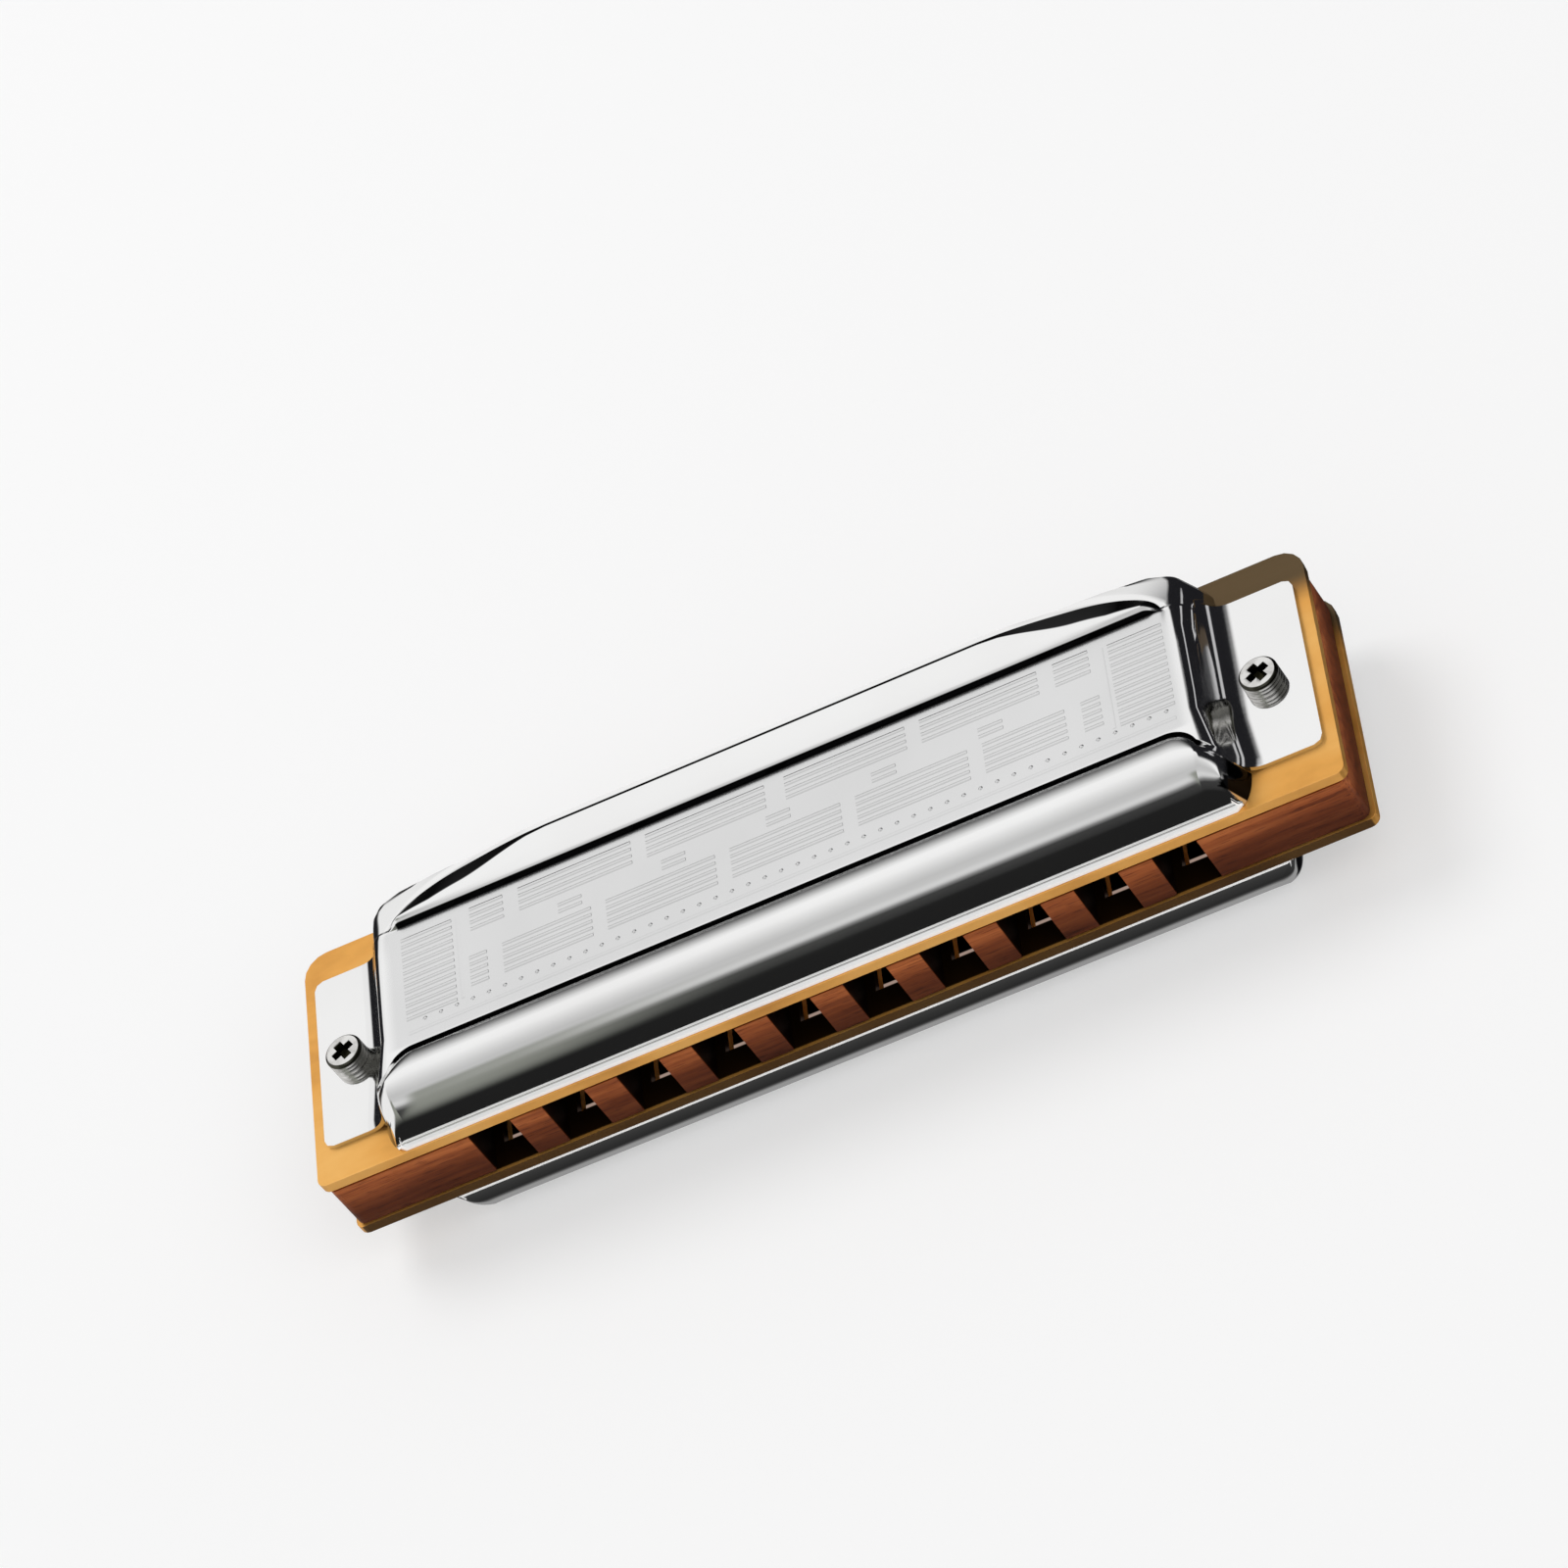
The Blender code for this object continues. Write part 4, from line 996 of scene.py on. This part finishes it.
def cover_mesh(name):
    """The cover's outer surface, open beside the tabs, with the places painted near black as shade and dark
    reflection marked.
    """
    columns, front_row, rear_row, wall_end = cover_columns()
    last_row = len(columns[0]) - 1
    last = len(columns) - 1
    bm = bmesh.new()
    bmesh.ops.create_grid(bm, x_segments=last, y_segments=last_row, size=1.0)
    shade = bm.verts.layers.float.new("shade")
    painted_shade_rows = shaded_rows()
    spots = {}
    for vert in bm.verts:
        column = round((vert.co.x + 1) / 2 * last)
        row = round((vert.co.y + 1) / 2 * last_row)
        out = abs(column - last // 2)
        spots[vert] = (out, row)
        vert.co = columns[column][row]
        on_wall = out > wall_end - len(WALL_SHARES) - 2 * FOLD_STEPS
        by_foot = vert.co.y > ROLL_FOOT_SHADE_Y and vert.co.z < ROLL_FOOT_SHADE_Z
        if abs(vert.co.x) < painted_shade_rows.get(row, 0.0) or (on_wall and row < front_row and by_foot):
            vert[shade] = 1.0
    missing = faces_beside_tabs(bm, spots, front_row, rear_row, wall_end)
    bmesh.ops.delete(bm, geom=missing, context="FACES")
    bmesh.ops.recalc_face_normals(bm, faces=bm.faces)
    if sum(face.normal.z for face in bm.faces) < 0:
        bmesh.ops.reverse_faces(bm, faces=bm.faces)
    bmesh.ops.remove_doubles(bm, verts=bm.verts, dist=0.002 * MM)
    mesh = bpy.data.meshes.new(name)
    bm.to_mesh(mesh)
    bm.free()
    return mesh


def make_cover(where, base_z, side, material):
    """A pressed cover: the sheet with its thickness, bored for the bolts."""
    name = f"{where}_cover_sheet"
    sheet = bpy.data.objects.new(name, cover_mesh(name))
    solidify = sheet.modifiers.new("sheet", "SOLIDIFY")
    solidify.thickness = SHEET
    solidify.offset = -1.0
    cutters = []
    for k, x in enumerate((-BOLT_X, BOLT_X)):
        middle = (x + side * BOLT_SHIFT, BOLT_Y, FOOT_Z)
        cutters.append(rod(f"{name}_hole_{k}", 32, BOLT_HOLE_RADIUS, 4 * MM, middle))
    cover = cut_and_bake(sheet, cutters, smooth_angle=COVER_SMOOTH_ANGLE)
    place(cover, base_z, side)
    link(cover, material, "cover_steel", f"{where}_cover")


def add_ridge(bm, start, end, height):
    """A long low ridge with sloping sides between two plan points in mm, sunk a little into the panel."""
    start = Vector((*start, 0.0)) * MM
    end = Vector((*end, 0.0)) * MM
    across = (end - start).normalized().cross(Vector((0.0, 0.0, 1.0))) * LINE_WIDTH / 2
    half = [(1.0, PANEL_HEIGHT - RIDGE_SINK), (1.0, PANEL_HEIGHT), (RIDGE_TOP_SHARE, PANEL_HEIGHT + height)]
    section = [(-share, z) for share, z in half] + half[::-1]
    first = [bm.verts.new(start + across * share + Vector((0.0, 0.0, z))) for share, z in section]
    last = [bm.verts.new(end + across * share + Vector((0.0, 0.0, z))) for share, z in section]
    count = len(section)
    for k in range(count):
        bm.faces.new((first[k], last[k], last[(k + 1) % count], first[(k + 1) % count]))
    bm.faces.new(first)
    bm.faces.new(last[::-1])


def add_dot(bm, x, y):
    """A small domed dot at a plan point in mm, sunk a little into the panel."""
    made = bmesh.ops.create_cone(bm, cap_ends=True, segments=16, radius1=DOT_RADIUS,
                                 radius2=DOT_RADIUS * DOT_TOP_SHARE, depth=DOT_HEIGHT + RIDGE_SINK)
    middle = (x * MM, y * MM, PANEL_HEIGHT + (DOT_HEIGHT - RIDGE_SINK) / 2)
    bmesh.ops.translate(bm, verts=made["verts"], vec=middle)


def make_panel_lines(where, base_z, side, material):
    """Plain pressed pattern on a panel: blocks of fine lines, frame lines and a row of dots."""
    bm = bmesh.new()
    for first_y, count, blocks in LINE_BLOCKS:
        for low_x, high_x in blocks:
            for k in range(count):
                y = first_y + k * LINE_PITCH
                add_ridge(bm, (low_x, y), (high_x, y), LINE_HEIGHT)
    for start, end, share in FRAME_LINES:
        add_ridge(bm, start, end, share * LINE_HEIGHT)
    for k in range(DOT_COUNT):
        add_dot(bm, DOT_START_X - DOT_PITCH * k, DOT_Y)
    lines = mesh_object(f"{where}_cover_lines", bm, PATTERN_SMOOTH_ANGLE)
    place(lines, base_z, side)
    link(lines, material, "cover_steel")


def turned(name, points, segments, steps=4):
    """A piece turned about Z from (radius, height, corner radius) points that run from the top down."""
    profile = rounded([((radius, z), corner) for radius, z, corner in points], steps)
    bm = bmesh.new()
    rings = []
    for radius, z in profile:
        if radius == 0:
            rings.append([bm.verts.new((0.0, 0.0, z))])
            continue
        turns = [2 * math.pi * k / segments for k in range(segments)]
        rings.append([bm.verts.new((radius * math.cos(a), radius * math.sin(a), z)) for a in turns])
    for upper, lower in zip(rings, rings[1:]):
        for k in range(segments):
            corners = [upper[k % len(upper)], lower[k % len(lower)]]
            corners += [lower[(k + 1) % len(lower)], upper[(k + 1) % len(upper)]]
            unique = list(dict.fromkeys(corners))
            if len(unique) > 2:
                bm.faces.new(unique)
    return mesh_object(name, bm, TURNED_SMOOTH_ANGLE)


def box_mesh(name, low, high, taper=1.0):
    """A box between two corners whose lower face is narrower by taper."""
    bm = bmesh.new()
    bmesh.ops.create_cube(bm, size=1.0)
    middle = (Vector(low) + Vector(high)) / 2
    span = Vector(high) - Vector(low)
    for vert in bm.verts:
        shrink = taper if vert.co.z < 0 else 1.0
        spot = Vector((vert.co.x * span.x * shrink, vert.co.y * span.y * shrink, vert.co.z * span.z))
        vert.co = middle + spot
    return mesh_object(name, bm)


def bolt_points(bottom):
    """A bolt's outline from the top of its low grooved head down to its threaded end."""
    head_foot = UPPER_BASE + FOOT_Z + SEAT_GAP
    top = BOLT_HEAD_TOP
    radius = BOLT_HEAD_RADIUS
    shank = BOLT_SHANK_RADIUS
    points = [(0.0, top, 0), (radius - 0.22 * MM, top, 0.05 * MM), (radius, top - 0.20 * MM, 0.10 * MM)]
    for drop in BOLT_GROOVE_DROPS:
        points.append((radius, top - drop, 0))
        points.append((radius - BOLT_GROOVE_DEPTH, top - drop - 0.05 * MM, 0))
        points.append((radius, top - drop - 0.10 * MM, 0))
    points += [(radius, head_foot, 0.12 * MM), (shank, head_foot, 0), (shank, head_foot - 0.5 * MM, 0)]
    thread_end = bottom + 0.25 * MM
    for k in range(BOLT_TURNS, 0, -1):
        points.append((shank, thread_end + k * BOLT_PITCH, 0))
        points.append((BOLT_ROOT_RADIUS, thread_end + (k - 0.5) * BOLT_PITCH, 0))
    return points + [(shank, thread_end, 0), (0.8 * MM, bottom, 0), (0.0, bottom, 0)]


def make_bolt(side_name, x, material):
    """A turned bolt with a cross recess."""
    node = f"cover_bolt_{side_name}"
    bolt = turned(f"{node}_turned", bolt_points(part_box(node)[0].z), 56)
    tools = []
    for k, (half_x, half_y) in enumerate(((RECESS_LONG, RECESS_SHORT), (RECESS_SHORT, RECESS_LONG))):
        low_corner = (-half_x, -half_y, BOLT_HEAD_TOP - RECESS_DEPTH)
        high_corner = (half_x, half_y, BOLT_HEAD_TOP + 0.5 * MM)
        tools.append(box_mesh(f"recess_{side_name}_{k}", low_corner, high_corner, RECESS_TAPER))
    bolt = cut_and_bake(bolt, tools, 0.04 * MM)
    bolt.rotation_euler.z = BOLT_TURN
    bolt.location = (x, BOLT_Y, 0.0)
    link(bolt, material, "bolt_steel", node)


def make_nut(side_name, x, material):
    """A hexagon nut with a bore and soft edges."""
    node = f"cover_nut_{side_name}"
    low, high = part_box(node)
    middle = (0.0, 0.0, (low.z + high.z) / 2)
    corner = NUT_HALF_FLAT / math.cos(math.pi / 6)
    nut = rod(f"{node}_hex", 6, corner, high.z - low.z, middle, math.pi / 2)
    bore = rod(f"nut_hole_{side_name}", 32, NUT_BORE_RADIUS, 6 * MM, middle)
    nut = cut_and_bake(nut, [bore], 0.12 * MM)
    nut.location = (x, BOLT_Y, 0.0)
    link(nut, material, "bolt_steel", node)


def make_plate_screw(node, side, material):
    """A small slotted screw with a domed head."""
    low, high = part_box(node)
    head = SCREW_HEAD
    end = head - (high.z - low.z)
    points = [(0.0, head, 0), (SCREW_DOME_RADIUS, head - 0.02 * MM, 0.3 * MM),
              (SCREW_HEAD_RADIUS, head - 0.3 * MM, 0.12 * MM), (SCREW_HEAD_RADIUS, SEAT_GAP, 0),
              (SCREW_RADIUS, SEAT_GAP, 0)]
    for k in range(SCREW_TURNS):
        z = -0.2 * MM - k * SCREW_PITCH
        points += [(SCREW_RADIUS, z, 0), (SCREW_ROOT_RADIUS, z - 0.17 * MM, 0)]
    points += [(0.5 * MM, end + 0.5 * MM, 0), (0.0, end, 0)]
    screw = turned(f"{node}_turned", points, 32, 3)
    slot_low = (-2 * MM, -SCREW_SLOT_HALF, head - SCREW_SLOT_DEPTH)
    slot_high = (2 * MM, SCREW_SLOT_HALF, head + MM)
    screw = cut_and_bake(screw, [box_mesh(f"{node}_slot", slot_low, slot_high)], 0.03 * MM)
    base = UPPER_BASE if side > 0 else LOWER_BASE
    screw.location = ((low.x + high.x) / 2, (low.y + high.y) / 2, base)
    if side < 0:
        screw.rotation_euler.x = math.pi
    link(screw, material, "bolt_steel", node)


def make_rivet(node, material):
    """A domed rivet in place of the plain turned one, head and tail on the same sides."""
    low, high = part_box(node)
    bottom = low.z - high.z
    points = [(0.0, 0.0, 0), (0.62 * MM, -0.02 * MM, 0.25 * MM), (RIVET_HEAD_RADIUS, -0.22 * MM, 0.1 * MM),
              (RIVET_HEAD_RADIUS, -RIVET_HEAD, 0), (RIVET_RADIUS, -RIVET_HEAD, 0),
              (RIVET_RADIUS, bottom + RIVET_TAIL, 0), (RIVET_TAIL_RADIUS, bottom + RIVET_TAIL, 0.05 * MM),
              (RIVET_TAIL_RADIUS - 0.05 * MM, bottom, 0.08 * MM), (0.0, bottom, 0)]
    rivet = turned(f"{node}_turned", points, 28)
    rivet.location = ((low.x + high.x) / 2, (low.y + high.y) / 2, low.z)
    rivet.rotation_euler.x = math.pi
    link(rivet, material, "rivet_brass", node)


def soften_node(name, material, width):
    """Keeps a solid, with its edges softened and its material set."""
    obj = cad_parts[name]
    obj.data.materials.clear()
    obj.data.materials.append(material)
    weld = obj.modifiers.new("weld", "WELD")
    weld.merge_threshold = 0.001 * MM
    soften_edges(obj, width, angle=50)


def make_camera():
    """The photograph's camera: placed by azimuth and elevation, then turned about its own axis."""
    azimuth, elevation, roll = CAMERA_AZIMUTH, CAMERA_ELEVATION, CAMERA_ROLL
    level = math.cos(elevation)
    back = Vector((math.sin(azimuth) * level, -math.cos(azimuth) * level, math.sin(elevation)))
    level_right = Vector((math.cos(azimuth), math.sin(azimuth), 0.0))
    level_up = back.cross(level_right)
    right = level_right * math.cos(roll) + level_up * math.sin(roll)
    up = level_up * math.cos(roll) - level_right * math.sin(roll)
    target = Vector((*CAMERA_TARGET, UPPER_BASE))
    data = bpy.data.cameras.new("camera")
    data.sensor_width = CAMERA_SENSOR
    data.lens = CAMERA_LENS
    data.clip_start, data.clip_end = CAMERA_CLIP
    camera = bpy.data.objects.new("camera", data)
    turn = Matrix((right, up, back)).transposed().to_4x4()
    camera.matrix_world = Matrix.Translation(target + back * CAMERA_DISTANCE) @ turn
    show(camera)
    bpy.context.scene.camera = camera


def tent_color(tree):
    """What metal mirrors: a tent whose brightness follows the angle over the object, with its patches."""
    parts = add_node(tree, "SeparateXYZ", Vector=add_node(tree, "TexCoord").outputs["Generated"])
    forward = calculate(tree, "MULTIPLY", parts.outputs["Y"], -1.0)
    angle = calculate(tree, "ARCTAN2", parts.outputs["Z"], forward)
    turn = add_node(tree, "MapRange", Value=angle, From_Min=-math.pi, From_Max=math.pi)
    stops = [((degrees + 180) / 360, (level, level, level)) for degrees, level in TENT]
    color = ramp(tree, turn.outputs["Result"], stops)
    for patch_color, steps in TENT_PATCHES:
        masks = [smooth_step(tree, parts.outputs[axis], low, high) for axis, low, high in steps]
        color = paint(tree, color, masks_product(tree, masks), patch_color)
    return color


def make_world():
    """White for the camera, a soft even fill for matt surfaces, and the tent for metal."""
    world = bpy.data.worlds.new("studio")
    bpy.context.scene.world = world
    world.use_nodes = True
    tree = world.node_tree
    tree.nodes.clear()
    mirror = add_node(tree, "Background", Color=tent_color(tree))
    fill = add_node(tree, "Background", Color=(*WHITE, 1.0), Strength=FILL_STRENGTH)
    white = add_node(tree, "Background", Color=(*WHITE, 1.0))
    paths = add_node(tree, "LightPath")
    surface = mix_shaders(tree, paths.outputs["Is Glossy Ray"], fill.outputs[0], mirror.outputs[0])
    surface = mix_shaders(tree, paths.outputs["Is Camera Ray"], surface, white.outputs[0])
    add_node(tree, "OutputWorld", Surface=surface)


def make_floor():
    """A plain pale floor that keeps the object's shadow; metal sees the dark room in its place."""
    bm = bmesh.new()
    bmesh.ops.create_grid(bm, x_segments=1, y_segments=1, size=FLOOR_SIZE)
    floor = mesh_object("floor", bm)
    material, tree = new_material("pale_floor")
    dress(material, Base_Color=FLOOR_COLOR, Roughness=0.9, Specular_IOR_Level=0.0)
    glow = add_node(tree, "Emission", Color=(*WHITE, 1.0))
    paths = add_node(tree, "LightPath")
    share = calculate(tree, "MULTIPLY", paths.outputs["Is Camera Ray"], FLOOR_GLOW_SHARE)
    surface = mix_shaders(tree, share, tree.nodes["Principled BSDF"].outputs[0], glow.outputs[0])
    tree.links.new(surface, tree.nodes["Material Output"].inputs["Surface"])
    floor.data.materials.append(material)
    floor.visible_glossy = False
    show(floor)


def make_lamp(name, location, size, power):
    """A soft round lamp that metal doesn't mirror."""
    data = bpy.data.lights.new(name, "AREA")
    data.shape = "DISK"
    data.size = size
    data.energy = power
    lamp = bpy.data.objects.new(name, data)
    lamp.location = location
    direction = Vector(LAMP_AIM) - Vector(location)
    lamp.rotation_euler = direction.to_track_quat("-Z", "Y").to_euler()
    lamp.visible_glossy = False
    show(lamp)


def main():
    """Dresses every piece and sets up the camera, the surroundings and the lamps."""
    steel = cover_steel_material()
    plate_brass = brass_plate_material()
    reed_brass = reed_brass_material()
    rivet_brass = rivet_brass_material()
    bolt_steel = bolt_steel_material()
    wood = comb_wood_material()

    for where, base, side in (("upper", UPPER_BASE, 1), ("lower", LOWER_BASE, -1)):
        make_cover(where, base, side, steel)
        make_panel_lines(where, base, side, steel)
        for number in range(1, 6):
            make_plate_screw(f"plate_screw_{where}_{number}", side, bolt_steel)
        soften_node(f"{where}_reed_plate", plate_brass, 0.06 * MM)
    for side_name, x in (("left", -BOLT_X + BOLT_SHIFT), ("right", BOLT_X + BOLT_SHIFT)):
        make_bolt(side_name, x, bolt_steel)
        make_nut(side_name, x, bolt_steel)
    soften_node("comb", wood, 0.18 * MM)
    for kind in ("blow", "draw"):
        for number in range(1, 11):
            soften_node(f"reed_{kind}_{number:02d}", reed_brass, 0.04 * MM)
            make_rivet(f"rivet_{kind}_{number:02d}", rivet_brass)

    make_camera()
    make_world()
    make_floor()
    for lamp in LAMPS:
        make_lamp(*lamp)
    bpy.context.scene.view_settings.view_transform = "Standard"


main()
